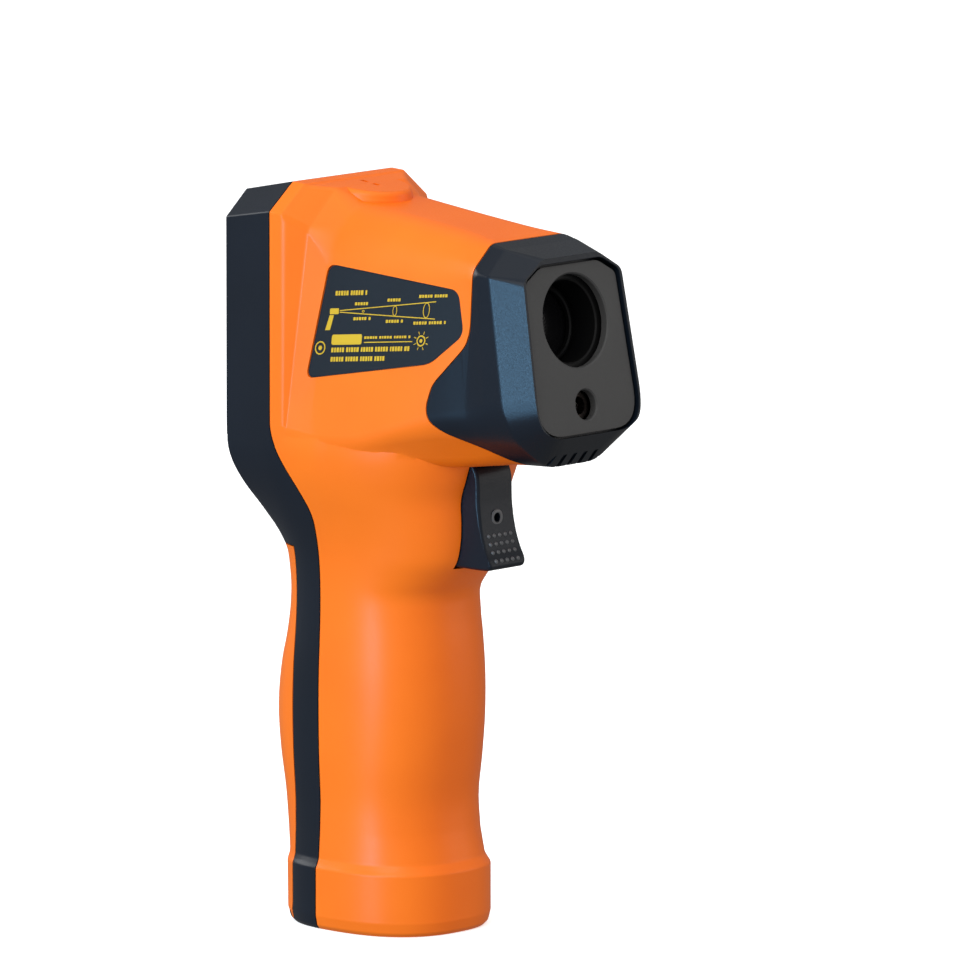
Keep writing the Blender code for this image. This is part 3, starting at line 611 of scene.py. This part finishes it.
def new_finish(name, roughness, metallic=0.0):
    """New Principled material, with object coordinates in metres to lay patterns on."""
    finish = bpy.data.materials.new(name)
    finish.use_nodes = True
    FINISHES[name] = finish
    tree = finish.node_tree
    shader = tree.nodes["Principled BSDF"]
    set_inputs(tree, shader, {"Roughness": roughness, "Metallic": metallic})
    return tree, shader, add_node(tree, "TexCoord", {}).outputs["Object"]


def noise(tree, place, size_mm, detail=3.0):
    """Cloudy pattern whose features have about the given size."""
    values = {"Vector": place, "Scale": 1000.0 / size_mm, "Detail": detail}
    return add_node(tree, "TexNoise", values).outputs["Fac"]


def two_colours(tree, pattern, first, second):
    """Colour that goes from the first to the second as the pattern rises."""
    ramp = add_node(tree, "ValToRGB", {"Fac": pattern})
    low, high = ramp.color_ramp.elements
    low.position = 0.35
    low.color = (*first, 1.0)
    high.position = 0.65
    high.color = (*second, 1.0)
    return ramp.outputs["Color"]


def spread_values(tree, pattern, low, high):
    """The pattern turned into values between two limits."""
    values = {"Value": pattern, "From Min": 0.3, "From Max": 0.7, "To Min": low, "To Max": high}
    return add_node(tree, "MapRange", values).outputs["Result"]


def grain(tree, pattern, depth_mm, strength=1.0):
    """Relief of the pattern, for a shader's Normal."""
    values = {"Height": pattern, "Distance": depth_mm * MM, "Strength": strength}
    return add_node(tree, "Bump", values).outputs["Normal"]


def moulded(name, colour, drift, roughness, grain_mm, depth_mm, specular=0.5):
    """Injection-moulded plastic: a slow drift of colour and a fine eroded grain."""
    tree, shader, place = new_finish(name, roughness)
    cloud = noise(tree, place, 22.0, 2.0)
    fine = noise(tree, place, grain_mm)
    set_inputs(tree, shader, {
        "Base Color": two_colours(tree, cloud, colour, drift),
        "Roughness": spread_values(tree, fine, roughness - 0.04, roughness + 0.05),
        "Specular IOR Level": specular,
        "Normal": grain(tree, fine, depth_mm),
    })


def brushed(name, colour, drift, roughness, factors):
    """Drawn or turned metal with fine lines along one direction."""
    tree, shader, place = new_finish(name, roughness, 1.0)
    stretched = add_node(tree, "Mapping", {"Vector": place, "Scale": factors})
    lines = noise(tree, stretched.outputs["Vector"], 0.25)
    set_inputs(tree, shader, {
        "Base Color": two_colours(tree, lines, colour, drift),
        "Roughness": spread_values(tree, lines, roughness - 0.08, roughness + 0.12),
        "Normal": grain(tree, lines, 0.01, 0.5),
    })


def circuit_board():
    """Green solder mask over a raised pattern of blocks with lighter lines between them."""
    tree, shader, place = new_finish("circuit_board", 0.35)
    turn = (math.radians(90), 0.0, 0.0)
    turned = add_node(tree, "Mapping", {"Vector": place, "Rotation": turn})
    tracks = add_node(tree, "TexBrick", {
        "Vector": turned.outputs["Vector"], "Scale": 260.0, "Mortar Size": 0.06,
        "Color1": (0.010, 0.105, 0.035, 1.0),
        "Color2": (0.013, 0.135, 0.045, 1.0),
        "Mortar": (0.035, 0.21, 0.06, 1.0),
    })
    relief = grain(tree, tracks.outputs["Fac"], 0.03, 0.5)
    set_inputs(tree, shader, {"Base Color": tracks.outputs["Color"], "Normal": relief})


def cell_sleeve():
    """Shrunk sleeve of a battery cell: dark with a light band, and metal at the two ends."""
    tree, shader, place = new_finish("cell_sleeve", 0.3)
    split = add_node(tree, "SeparateXYZ", {"Vector": place})
    decimetres = add_node(tree, "Math", {0: split.outputs["Z"], 1: 10.0})
    decimetres.operation = "MULTIPLY"
    ramp = add_node(tree, "ValToRGB", {"Fac": decimetres.outputs["Value"]})
    ramp.color_ramp.interpolation = "CONSTANT"
    elements = ramp.color_ramp.elements
    elements.remove(elements[1])
    elements[0].color = (*CELL_BANDS[0][1], 1.0)
    for position, colour in CELL_BANDS[1:]:
        elements.new(position).color = (*colour, 1.0)
    relief = grain(tree, noise(tree, place, 1.5), 0.02, 0.4)
    set_inputs(tree, shader, {"Base Color": ramp.outputs["Color"], "Normal": relief})


def clear_plastic():
    """Clear acrylic, with a faint unevenness of the moulding."""
    tree, shader, place = new_finish("clear_window", 0.04)
    haze = noise(tree, place, 9.0)
    set_inputs(tree, shader, {
        "Transmission Weight": 1.0,
        "IOR": 1.49,
        "Base Color": two_colours(tree, haze, (0.90, 0.93, 0.92), (0.97, 0.98, 0.98)),
        "Roughness": spread_values(tree, haze, 0.02, 0.06),
    })


def lens_grooves():
    """Dark infrared lens with fine rings about the optical axis."""
    tree, shader, place = new_finish("infrared_lens", 0.16)
    centre = Vector(nose_point(0.0, LENS_ALONG, 0.0)) * MM
    values = {"Vector": place, "Location": (0.0, 0.0, -centre.z), "Scale": (1.0, 0.0, 1.0)}
    centred = add_node(tree, "Mapping", values)
    rings = add_node(tree, "TexWave", {"Vector": centred.outputs["Vector"], "Scale": 520.0})
    rings.wave_type = "RINGS"
    rings.rings_direction = "Y"
    pattern = rings.outputs["Fac"]
    set_inputs(tree, shader, {
        "Base Color": two_colours(tree, pattern, (0.004, 0.004, 0.005), (0.006, 0.006, 0.007)),
        "Normal": grain(tree, pattern, 0.008),
    })


def make_finishes():
    for plastic in PLASTICS:
        moulded(*plastic)
    for metal in METALS:
        brushed(*metal)
    circuit_board()
    cell_sleeve()
    clear_plastic()
    lens_grooves()


def piece(name, shape, finish, nodes=(), body="housing", sharp=32.0):
    """Turn a shape into a named piece in metres that stands for CAD nodes and rides a body."""
    shape.data.transform(Matrix.Scale(MM, 4))
    shape.name = name
    shape.data.name = name
    shape.data.materials.append(FINISHES[finish])
    shape.data.shade_smooth()
    shape.data.set_sharp_from_angle(angle=math.radians(sharp))
    weigh = shape.modifiers.new("weigh", "WEIGHTED_NORMAL")
    weigh.keep_sharp = True
    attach(shape, body)
    if nodes:
        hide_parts(*nodes)
    return shape


# ---- casing ---------------------------------------------------------------------------------

def trigger_slot():
    """Opening in the casing that the trigger works in."""
    outline = ((12.0, 81.7), (18.0, 81.3), (26.0, 80.6), (45.0, 79.9), (45.0, 101.0),
               (31.2, 103.6), (30.4, 109.0), (14.0, 109.0))
    half = TRIGGER_HALF_WIDTH + GAP
    return prism_x(outline, -half, half)


def side_prism(outline, side):
    """Side-view outline extruded through one flank of the head; the side is -1 or 1."""
    return prism_x(outline, side * 10, side * 30)


def make_front_casing(shell):
    """Front half of the casing, with the label recesses and the two slots in the round boss."""
    casing = keep(copy_of(shell), region_front())
    cut(casing, region_nose(-GAP / 2), trigger_slot())
    for side in (-1, 1):
        cut(casing, cut(side_prism(label_outline(0.25), side), head(0.75)))
    for forward in VENT_SLOTS:
        cut(casing, box(-0.6, 0.6, -forward - 0.9, -forward + 0.9, 150, 170))
    piece("casing_front", casing, "orange_plastic", ["front_casing"], sharp=38.0)


def make_nose_shroud(shell):
    """Nose shroud with an eased lip round the front plate and grip notches under the nose."""
    shroud = keep(copy_of(shell), region_nose(GAP / 2))
    cut(shroud, nose_prism(plate_outline(PLATE_GROOVE), -PLATE_RECESS - PLATE_THICKNESS - 0.2, 3.0))
    cut(shroud, nose_prism(plate_outline(-1.0), -12.0, 0.0))
    lip = [[nose_point(x, along, out) for x, along in plate_outline(grow)]
           for grow, out in ((PLATE_GROOVE - 0.1, -0.2), (PLATE_GROOVE + 0.25, 0.15))]
    cut(shroud, loft(lip))
    for i in range(NOTCH_COUNT):
        x = NOTCH_STEP * (i - (NOTCH_COUNT - 1) / 2)
        cut(shroud, prism_x(NOTCH_SIDE, x - 0.6, x + 0.6))
    piece("shroud_nose", shroud, "navy_plastic", ["nose_shroud"])


def make_rear_frame(shell):
    """Rear half of the casing; a tongue of its floor reaches under the battery cover."""
    tongue = box(-15.0, 15.0, 12.0, 16.9, -1.0, 2.15)
    frame = cut(keep(copy_of(shell), region_rear()), cut(region_cover(-GAP / 2), tongue))
    walls = ((6.6, 8.4, 4.9, 80.0), (8.0, 12.4, 13.1, 14.9), (8.0, 12.4, 70.1, 71.9))
    for y0, y1, z0, z1 in walls:
        join(frame, keep(box(-22, 22, y0, y1, z0, z1), grip(WALL / 2)))
    pivot = (DOOR_PIVOT_Y, DOOR_PIVOT_Z)
    for side in (-1, 1):
        ear = rod((side * 5.5, *pivot), (side * 7.5, *pivot), 1.4, 32)
        web = box(side * 5.5, side * 7.5, 14.5, DOOR_PIVOT_Y, 1.0, 4.4)
        join(frame, join(ear, web))
        x, z = side * HEAD_SCREW_X, HEAD_SCREW_Z
        join(frame, rod((x, 27.0, z), (x, 14.0, z), 2.7, 32))
        well = rod((x, 30.0, z), (x, 26.3, z), 2.3, 32)
        cut(frame, well, rod((x, 27.0, z), (x, 12.0, z), 1.35, 24))
    cut(frame, rod((-9, *pivot), (9, *pivot), 0.95, 24))
    for x, z in BAY_SCREWS:
        cut(frame, rod((x, 9.0, z), (x, 6.0, z), 1.35, 24))
    cut(frame, prism_y(window_outline(GAP), REAR_FACE - 1.2, REAR_FACE + 2))
    cut(frame, prism_y(window_outline(-1.2), REAR_FACE - 4, REAR_FACE + 2))
    for x in KEY_X:
        cut(frame, rod((x, 24.0, KEY_Z), (x, 30.0, KEY_Z), 3.7, 48))
    piece("frame_rear", frame, "navy_plastic", ["rear_frame"])


def make_battery_cover(shell):
    """Battery cover on its hinge, with a latch tongue and four short grip grooves by it."""
    cover = keep(copy_of(shell), region_cover(GAP / 2))
    cut(cover, box(-15.3, 15.3, 10.0, 19.0, -1.0, 2.45))
    pivot = (DOOR_PIVOT_Y, DOOR_PIVOT_Z)
    join(cover, rod((-5.1, *pivot), (5.1, *pivot), 1.5, 32))
    for side in (-1, 1):
        cut(cover, box(side * 5.2, side * 7.8, 14.0, 24.0, -1.0, 5.0))
    cut(cover, rod((-9, *pivot), (9, *pivot), 0.95, 24))
    join(cover, box(-4.0, 4.0, 19.6, 21.6, 78.0, 82.8))
    for i in range(4):
        z = 72.0 + 2.2 * i
        cut(cover, rod((-6.0, 22.6, z), (6.0, 22.6, z), 0.8, 16))
    piece("cover_battery", cover, "orange_plastic", ["battery_cover"], "battery_door")


def make_casing():
    shell = cut(join(head(), grip(), vent_boss()), head(WALL), grip(WALL))
    make_front_casing(shell)
    make_nose_shroud(shell)
    make_rear_frame(shell)
    make_battery_cover(shell)
    bpy.data.objects.remove(shell)


# ---- side labels ----------------------------------------------------------------------------

def laid(outline):
    """Label drawing points (along, up) as side-view points; the rows rise towards the nose."""
    return [(along, up + LABEL_RISE * along) for along, up in outline]


def stroke(start, end, width):
    """Outline of a straight line with a width."""
    start, end = Vector(start), Vector(end)
    along = (end - start).normalized()
    off = Vector((-along.y, along.x)) * width / 2
    return [start - off, end - off, end + off, start + off]


def panel(along, up, length, height, corner):
    """Outline of a bar with rounded corners."""
    return eased_outline(rectangle(along, up, along + length, up + height), corner, 3)


def oval(along, up, half_width, half_height):
    return [(along + u * half_width, up + v * half_height) for u, v in circle(1.0, 36)]


def oval_line(along, up, half_width, half_height, line):
    """Outer and inner edge of an oval drawn with a line."""
    return (oval(along, up, half_width, half_height),
            oval(along, up, half_width - line, half_height - line))


def ring_prism(outer, inner, side):
    """Ring between two side-view outlines, extruded through one flank of the head."""
    near, far = side * 10, side * 30
    skins = ((outer, near), (outer, far), (inner, far), (inner, near))
    return loft([[(x, -f, z) for f, z in outline] for outline, x in skins], closed=True)


def pattern_on_side(shapes, inset):
    """Raised print on a side label: shapes that do not touch each other, laid on its curve."""
    return cut(keep(gathered(shapes), head(inset)), head(0.27))


def distance_drawing():
    """Plain drawing of the measuring cone: a small pistol, two lines and three ovals."""
    outlines = [
        panel(0.8, 135.4, 2.5, 1.25, 0.25),
        [(-0.2, 132.0), (1.2, 132.0), (2.0, 135.2), (0.8, 135.2)],
        stroke((3.6, 136.15), (30.4, 137.6), 0.2),
        stroke((3.6, 135.8), (30.4, 133.9), 0.2),
    ]
    rings = [oval_line(10.2, 135.9, 0.35, 0.27, 0.12), oval_line(19.1, 135.85, 0.62, 1.1, 0.15),
             oval_line(27.9, 135.8, 0.92, 1.65, 0.17)]
    return outlines, rings


def print_rows():
    """Rows of small blocks in place of the printed words and figures."""
    rows = (
        (2.0, 139.4, 9.7, 1.0), (7.7, 137.2, 4.7, 0.65), (16.8, 137.85, 4.8, 0.65),
        (25.6, 138.5, 8.5, 0.65), (7.6, 134.0, 5.3, 0.65), (16.8, 133.3, 5.2, 0.65),
        (24.6, 132.8, 9.7, 0.65), (11.1, 129.95, 13.7, 0.55), (2.0, 127.2, 22.5, 1.0),
        (2.0, 125.2, 15.6, 1.0),
    )
    lengths = (0.62, 0.5, 0.66, 0.45, 0.6, 0.56, 0.4)
    outlines = []
    for along, up, length, height in rows:
        end = along + length
        count = 0
        while along + 0.7 < end:
            block = lengths[count % len(lengths)]
            outlines.append(panel(along, up, block, height, 0.08))
            count += 1
            along += block + (0.62 if count % 5 == 0 else 0.2)
    outlines.append(stroke((11.1, 129.2), (24.7, 129.2), 0.2))
    return outlines


def plain_badges():
    """Filled panel, a ring with a dot, and a rayed ring."""
    centre = Vector((27.1, 129.3))
    outlines = [panel(1.9, 128.8, 8.5, 2.2, 0.5), oval(-1.2, 128.2, 0.5, 0.5),
                oval(*centre, 0.4, 0.4)]
    for i in range(8):
        angle = math.radians(45 * i + 22)
        ray = Vector((math.cos(angle), math.sin(angle)))
        outlines.append(stroke(centre + ray * 1.45, centre + ray * 2.1, 0.16))
    rings = [oval_line(-1.2, 128.2, 1.45, 1.45, 0.28), oval_line(*centre, 1.2, 1.2, 0.3)]
    return outlines, rings


def make_labels():
    outlines, rings = distance_drawing()
    badge_outlines, badge_rings = plain_badges()
    filled = [laid(outline) for outline in print_rows() + badge_outlines]
    drawing = [laid(outline) for outline in outlines]
    rings = [(laid(outer), laid(inner)) for outer, inner in rings + badge_rings]
    for side, name in ((-1, "right"), (1, "left")):
        film = keep(side_prism(label_outline(0.0), side), head(0.25))
        piece("film_" + name, cut(film, head(0.62)), "label_film", ["label_" + name])
        ink = gathered([
            pattern_on_side([side_prism(outline, side) for outline in filled], 0.19),
            pattern_on_side([side_prism(outline, side) for outline in drawing], 0.19),
            pattern_on_side([ring_prism(*ring, side) for ring in rings], 0.18)])
        piece("print_" + name, ink, "label_print")


# ---- trigger --------------------------------------------------------------------------------

def trigger_front(z):
    """Forward position of the trigger's front face at a height."""
    face = TRIGGER_SIDE[1:8]
    for (f0, z0), (f1, z1) in zip(face, face[1:]):
        if z1 <= z <= z0:
            return f0 + (f1 - f0) * (z0 - z) / (z0 - z1)
    return face[-1][0]


def make_trigger():
    """Trigger with rounded flanks, a concave front, an eyelet and a grid of grip dots."""
    half = TRIGGER_HALF_WIDTH
    outline = eased_outline(TRIGGER_SIDE, 1.2, 5)
    middle = Vector((26.0, 96.0))
    rings = []
    for i in range(7):
        turn = math.radians(15 * i)
        inset = 0.8 * (1 - math.sin(turn))
        rings.append((-half + 0.8 * (1 - math.cos(turn)), inset))
    sections = rings + [(-x, inset) for x, inset in reversed(rings)]
    skins = []
    for x, inset in sections:
        ring = []
        for point in outline:
            away = point - middle
            factor = 1 - inset / away.length
            ring.append((x, -(middle.x + away.x * factor), middle.y + away.y * factor))
        skins.append(ring)
    trigger = loft(skins)
    pivot = (-TRIGGER_PIVOT_F, TRIGGER_PIVOT_Z)
    cut(trigger, rod((-9, *pivot), (9, *pivot), 1.5, 32))
    cut(trigger, rod((0, -26.0, 91.8), (0, -34.0, 92.4), 1.0, 32))
    piece("trigger_blade", trigger, "navy_plastic", ["trigger"], "trigger_body")
    front = trigger_front(EYELET_Z)
    profile = ((1.75, -front + 0.3), (1.75, -front - 0.12), (1.55, -front - 0.22),
               (1.2, -front - 0.22), (1.02, -front - 0.08), (1.02, -front + 0.3))
    rings = [[(u, y, v) for u, v in circle(radius, 48, 0.0, EYELET_Z)] for radius, y in profile]
    eyelet = loft(rings, closed=True)
    piece("trigger_eyelet", eyelet, "trigger_grey", body="trigger_body")
    bm = bmesh.new()
    for row in range(4):
        z = 88.4 - 1.73 * row
        for column in range(5):
            place = Matrix.Translation((1.75 * (column - 2), -trigger_front(z) + 0.12, z))
            bmesh.ops.create_uvsphere(bm, u_segments=20, v_segments=12, radius=0.5, matrix=place)
    piece("trigger_dots", shape_from(bm), "trigger_grey", body="trigger_body")


# ---- nose -----------------------------------------------------------------------------------

def make_front_plate():
    """Front plate with eased edges round the lens bore and the laser bore."""
    back = -PLATE_RECESS - PLATE_THICKNESS
    plate = nose_prism(plate_outline(0.15), back, -PLATE_RECESS)
    for radius, along, count in ((LENS_RADIUS, LENS_ALONG, 96), (LASER_RADIUS, LASER_ALONG, 64)):
        bore = ((radius, back - 1.0), (radius, 1.0))
        edge = ((radius - 0.1, -PLATE_RECESS - 0.4), (radius + 0.5, -PLATE_RECESS + 0.2))
        for profile in (bore, edge):
            cut(plate, loft(nose_rings(profile, along, count)))
    piece("plate_front", plate, "grey_plastic", ["front_plate"])


def make_optics():
    """Lens tube with a stepped bore, the infrared lens in it, and the ring that holds the lens."""
    tube = ((10.8, -3.1), (10.8, -4.6), (10.4, -4.6), (10.4, -24.0), (3.0, -24.0), (3.0, -22.6),
            (8.2, -22.6), (8.2, -12.5), (8.9, -12.5), (8.9, -3.4), (9.2, -3.1))
    tube = loft(nose_rings(tube, LENS_ALONG, 96), closed=True)
    piece("tube_lens", tube, "black_plastic", ["lens_tube"])
    lens = ((8.6, -12.2), (8.6, -11.2), (7.0, -11.0), (4.5, -10.8), (2.0, -10.7))
    lens = loft(nose_rings(lens, LENS_ALONG, 72))
    piece("lens_front", lens, "infrared_lens", ["fresnel_lens"])
    ring = ((8.6, -10.6), (8.6, -9.6), (8.3, -9.4), (7.9, -9.4), (7.6, -9.7), (7.6, -10.6))
    ring = loft(nose_rings(ring, LENS_ALONG, 96), closed=True)
    piece("ring_lens", ring, "black_plastic", ["lens_retaining_ring"])


# ---- display and keys -----------------------------------------------------------------------

# Lit bars of the figures that the display shows.
SEGMENTS = {"1": "bc", "2": "abged", "4": "fgbc", "6": "afgedc", "7": "abc", "8": "abcdefg"}


def segment_shapes(x, z, width, height, thick):
    """Outlines of the seven bars of one figure, keyed by their usual letters."""
    half = height / 2
    slim = thick * 0.12

    def level(z0):
        return [(x + thick * 0.6, z0), (x + thick, z0 + thick / 2), (x + width - thick, z0 + thick / 2),
                (x + width - thick * 0.6, z0), (x + width - thick, z0 - thick / 2),
                (x + thick, z0 - thick / 2)]

    def upright(x0, z0):
        return [(x0, z0 + thick * 0.6), (x0 - thick / 2, z0 + thick), (x0 - thick / 2, z0 + half - thick),
                (x0, z0 + half - thick * 0.6 + slim), (x0 + thick / 2, z0 + half - thick),
                (x0 + thick / 2, z0 + thick)]

    left, right = x + thick / 2, x + width - thick / 2
    return {"a": level(z + height), "g": level(z + half), "d": level(z),
            "f": upright(left, z + half), "b": upright(right, z + half),
            "e": upright(left, z), "c": upright(right, z)}


def display_shapes():
    """Outlines of the lit and of the idle marks: a large reading, a small one, and plain icons.

    They are (right, up) as the reader sees them; flat_marks turns them round.
    """
    lit, idle = [], []
    for figures, x, z, width, height, thick in (
            ("24", -11.5, 133.4, 6.2, 11.0, 1.25), ("6", 5.4, 133.4, 6.2, 11.0, 1.25),
            ("187", -11.5, 126.6, 2.3, 4.0, 0.5)):
        for i, figure in enumerate(figures):
            shapes = segment_shapes(x + i * width * 1.26, z, width, height, thick)
            for key, outline in shapes.items():
                (lit if key in SEGMENTS[figure] else idle).append(outline)
    lit.append(circle(0.75, 16, 4.0, 133.2))
    for i in range(4):
        lit.append(rectangle(2.0 + 2.6 * i, 126.8, 4.0 + 2.6 * i, 127.6 + 0.8 * i))
    lit.append(rectangle(-11.5, 148.2, -7.5, 150.2))
    lit.append(rectangle(-7.4, 148.8, -6.9, 149.6))
    lit.append(circle(1.0, 20, -1.0, 149.2))
    idle.append([(5.0, 148.2), (7.0, 148.2), (6.0, 150.2)])
    idle.append(rectangle(9.5, 148.2, 11.5, 150.2))
    return lit, idle


def flat_marks(outlines, face, height):
    """Thin raised marks on a surface that faces the rear; (right, up) as the reader sees them."""
    return gathered([prism_y([(-x, z) for x, z in outline], face, face + height)
                     for outline in outlines])


def make_display():
    lit, idle = display_shapes()
    piece("lcd_marks", flat_marks(lit, LCD_FACE, 0.04), "lcd_segment")
    piece("lcd_idle_marks", flat_marks(idle, LCD_FACE, 0.03), "lcd_idle")
    window = prism_y(window_outline(0.0), REAR_FACE - 0.9, REAR_FACE - 0.1)
    piece("window_display", window, "clear_window", ["display_window"])


def key_icon(index, x):
    """Raised mark on a key cap: a ring on the middle one, an arrow on the others."""
    if index == 1:
        outer = circle(1.3, 40, x, KEY_Z)
        inner = circle(0.95, 40, x, KEY_Z)
        skins = ((outer, 28.85), (outer, 29.0), (inner, 29.0), (inner, 28.85))
        return loft([[(u, y, v) for u, v in outline] for outline, y in skins], closed=True)
    up = 1 if index == 2 else -1
    arrow = [(x - 1.25, KEY_Z - 0.75 * up), (x + 1.25, KEY_Z - 0.75 * up), (x, KEY_Z + 1.15 * up)]
    return prism_y(arrow, 28.85, 29.0)


def make_keys():
    """Key caps with eased rims and a raised arrow or ring on each."""
    for i, side in enumerate(("left", "centre", "right")):
        x = KEY_X[i]
        sizes = ((4.3, 25.2), (4.3, 25.7), (3.35, 25.7), (3.35, 28.45), (3.27, 28.7), (3.08, 28.87),
                 (2.85, 28.92), (1.5, 28.88))
        rings = [[(u, y, v) for u, v in circle(radius, 64, x, KEY_Z)] for radius, y in sizes]
        piece("cap_" + side, loft(rings), "grey_plastic", ["key_" + side], side + "_key")
        piece("icon_" + side, key_icon(i, x), "key_print", body=side + "_key")


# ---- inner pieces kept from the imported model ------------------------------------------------

NODE_FINISHES = {
    "circuit_board": ("main_board", "sensor_board", "trigger_board"),
    "steel": ("casing_screw_lower", "casing_screw_upper", "head_screw_left", "head_screw_right",
              "contact_spring_lower", "contact_spring_upper", "cover_hinge_pin",
              "trigger_pivot_pin", "trigger_spring"),
    "nickel": ("contact_plate_lower", "contact_plate_upper", "thermopile_sensor"),
    "dark_metal": ("laser_housing",),
    "clear_window": ("laser_lens",),
    "lcd_glass": ("lcd_panel",),
    "white_plastic": ("lcd_light_guide", "trigger_switch_plunger"),
    "rubber": ("lcd_contact_strip",),
    "cell_sleeve": ("battery_cell_left", "battery_cell_right"),
    "black_plastic": ("buzzer", "microcontroller", "memory_chip", "key_switch_left",
                      "key_switch_centre", "key_switch_right", "laser_clamp", "optics_frame",
                      "trigger_switch_body", "trigger_spring_post"),
}
SOFT_EDGES = ("battery_cell_left", "battery_cell_right", "casing_screw_lower",
              "casing_screw_upper", "contact_plate_lower", "contact_plate_upper",
              "head_screw_left", "head_screw_right", "laser_housing")


def dress_nodes(nodes):
    """Give each kept node its finish, and small rounded edges where it can be seen."""
    for finish, names in NODE_FINISHES.items():
        for name in names:
            node = nodes[name]
            node.data.materials.clear()
            node.data.materials.append(FINISHES[finish])
            if name in SOFT_EDGES:
                edge = node.modifiers.new("edge", "BEVEL")
                edge.width = 0.15 * MM
                edge.segments = 2
                edge.limit_method = "ANGLE"
                edge.angle_limit = math.radians(50)
                edge.harden_normals = True


# ---- stage ----------------------------------------------------------------------------------

def make_floor():
    """Wide pale disc just under the object, hidden from its reflections and its shading."""
    bm = bmesh.new()
    bmesh.ops.create_circle(bm, cap_ends=True, segments=96, radius=9.0)
    mesh = bpy.data.meshes.new("floor")
    bm.to_mesh(mesh)
    bm.free()
    floor = bpy.data.objects.new("floor", mesh)
    bpy.context.scene.collection.objects.link(floor)
    tree, shader, place = new_finish("floor_paint", 0.6)
    cloud = noise(tree, place, 300.0)
    set_inputs(tree, shader, {
        "Base Color": two_colours(tree, cloud, (0.86, 0.86, 0.86), (0.89, 0.89, 0.89)),
        "Emission Color": (1.0, 1.0, 1.0, 1.0),
        "Emission Strength": FLOOR_GLOW,
    })
    mesh.materials.append(FINISHES["floor_paint"])
    floor.location.z = -0.0001
    floor.visible_diffuse = False
    floor.visible_glossy = False


def make_lamp(name, azimuth, elevation, distance, size, watts, colour=(1.0, 1.0, 1.0)):
    """Rectangular soft light that looks at the object from a direction."""
    lamp = bpy.data.lights.new(name, "AREA")
    lamp.shape = "RECTANGLE"
    lamp.size, lamp.size_y = size
    lamp.energy = watts
    lamp.color = colour
    holder = bpy.data.objects.new(name, lamp)
    away = direction(azimuth, elevation)
    holder.location = Vector((0.0, -0.02, 0.09)) + away * distance
    holder.rotation_euler = away.to_track_quat("Z", "Y").to_euler()
    bpy.context.scene.collection.objects.link(holder)


def direction(azimuth, elevation):
    """Unit vector away from the object; azimuth 0 is in front of the nose, plus is to +X."""
    a, e = math.radians(azimuth), math.radians(elevation)
    return Vector((math.sin(a) * math.cos(e), -math.cos(a) * math.cos(e), math.sin(e)))


def make_lights():
    make_lamp("overhead", 20.0, 85.0, 2.2, (2.6, 2.6), 15.0)
    make_lamp("key_light", -74.0, 34.0, 1.4, (0.8, 0.8), 8.6, (1.0, 0.99, 0.97))
    make_lamp("sky_panel", -95.0, -2.0, 1.4, (0.35, 0.7), 22.0, (0.28, 0.62, 1.0))
    make_lamp("edge_panel", 48.0, 8.0, 1.4, (0.3, 0.9), 1.8, (1.0, 0.95, 0.92))
    make_lamp("rear_panel", -164.0, 22.0, 1.5, (0.7, 0.7), 7.0)


def make_world():
    """White surroundings, dimmest on the side away from the camera and low down."""
    world = bpy.data.worlds.new("studio")
    world.use_nodes = True
    tree = world.node_tree
    place = add_node(tree, "TexCoord", {}).outputs["Generated"]
    facing = add_node(tree, "VectorMath", {0: place, 1: direction(132.0, -30.0)})
    facing.operation = "DOT_PRODUCT"
    fade = add_node(tree, "MapRange", {"Value": facing.outputs["Value"], "From Min": -1.0,
                                       "From Max": 1.0, "To Min": 0.76, "To Max": 0.20})
    light = {"Color": (1.0, 1.0, 1.0, 1.0), "Strength": fade.outputs["Result"]}
    set_inputs(tree, tree.nodes["Background"], light)
    bpy.context.scene.world = world


def make_camera():
    camera = bpy.data.objects.new("camera", bpy.data.cameras.new("camera"))
    camera.data.sensor_width = 36.0
    camera.data.lens = CAMERA_LENS
    camera.data.shift_x, camera.data.shift_y = CAMERA_SHIFT
    camera.data.clip_end = 30.0
    away = direction(CAMERA_AZIMUTH, CAMERA_ELEVATION)
    camera.location = Vector(CAMERA_AIM) * MM + away * CAMERA_DISTANCE
    camera.rotation_euler = away.to_track_quat("Z", "Y").to_euler()
    bpy.context.scene.collection.objects.link(camera)
    bpy.context.scene.camera = camera
    bpy.context.scene.view_settings.view_transform = "Standard"


def corners(box_pair):
    return [[round(value, 6) for value in corner] for corner in box_pair]


def main():
    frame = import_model()
    make_finishes()
    dress_nodes(frame["nodes"])
    make_casing()
    make_labels()
    make_trigger()
    make_front_plate()
    make_optics()
    make_display()
    make_keys()
    make_floor()
    make_lights()
    make_world()
    make_camera()


main()
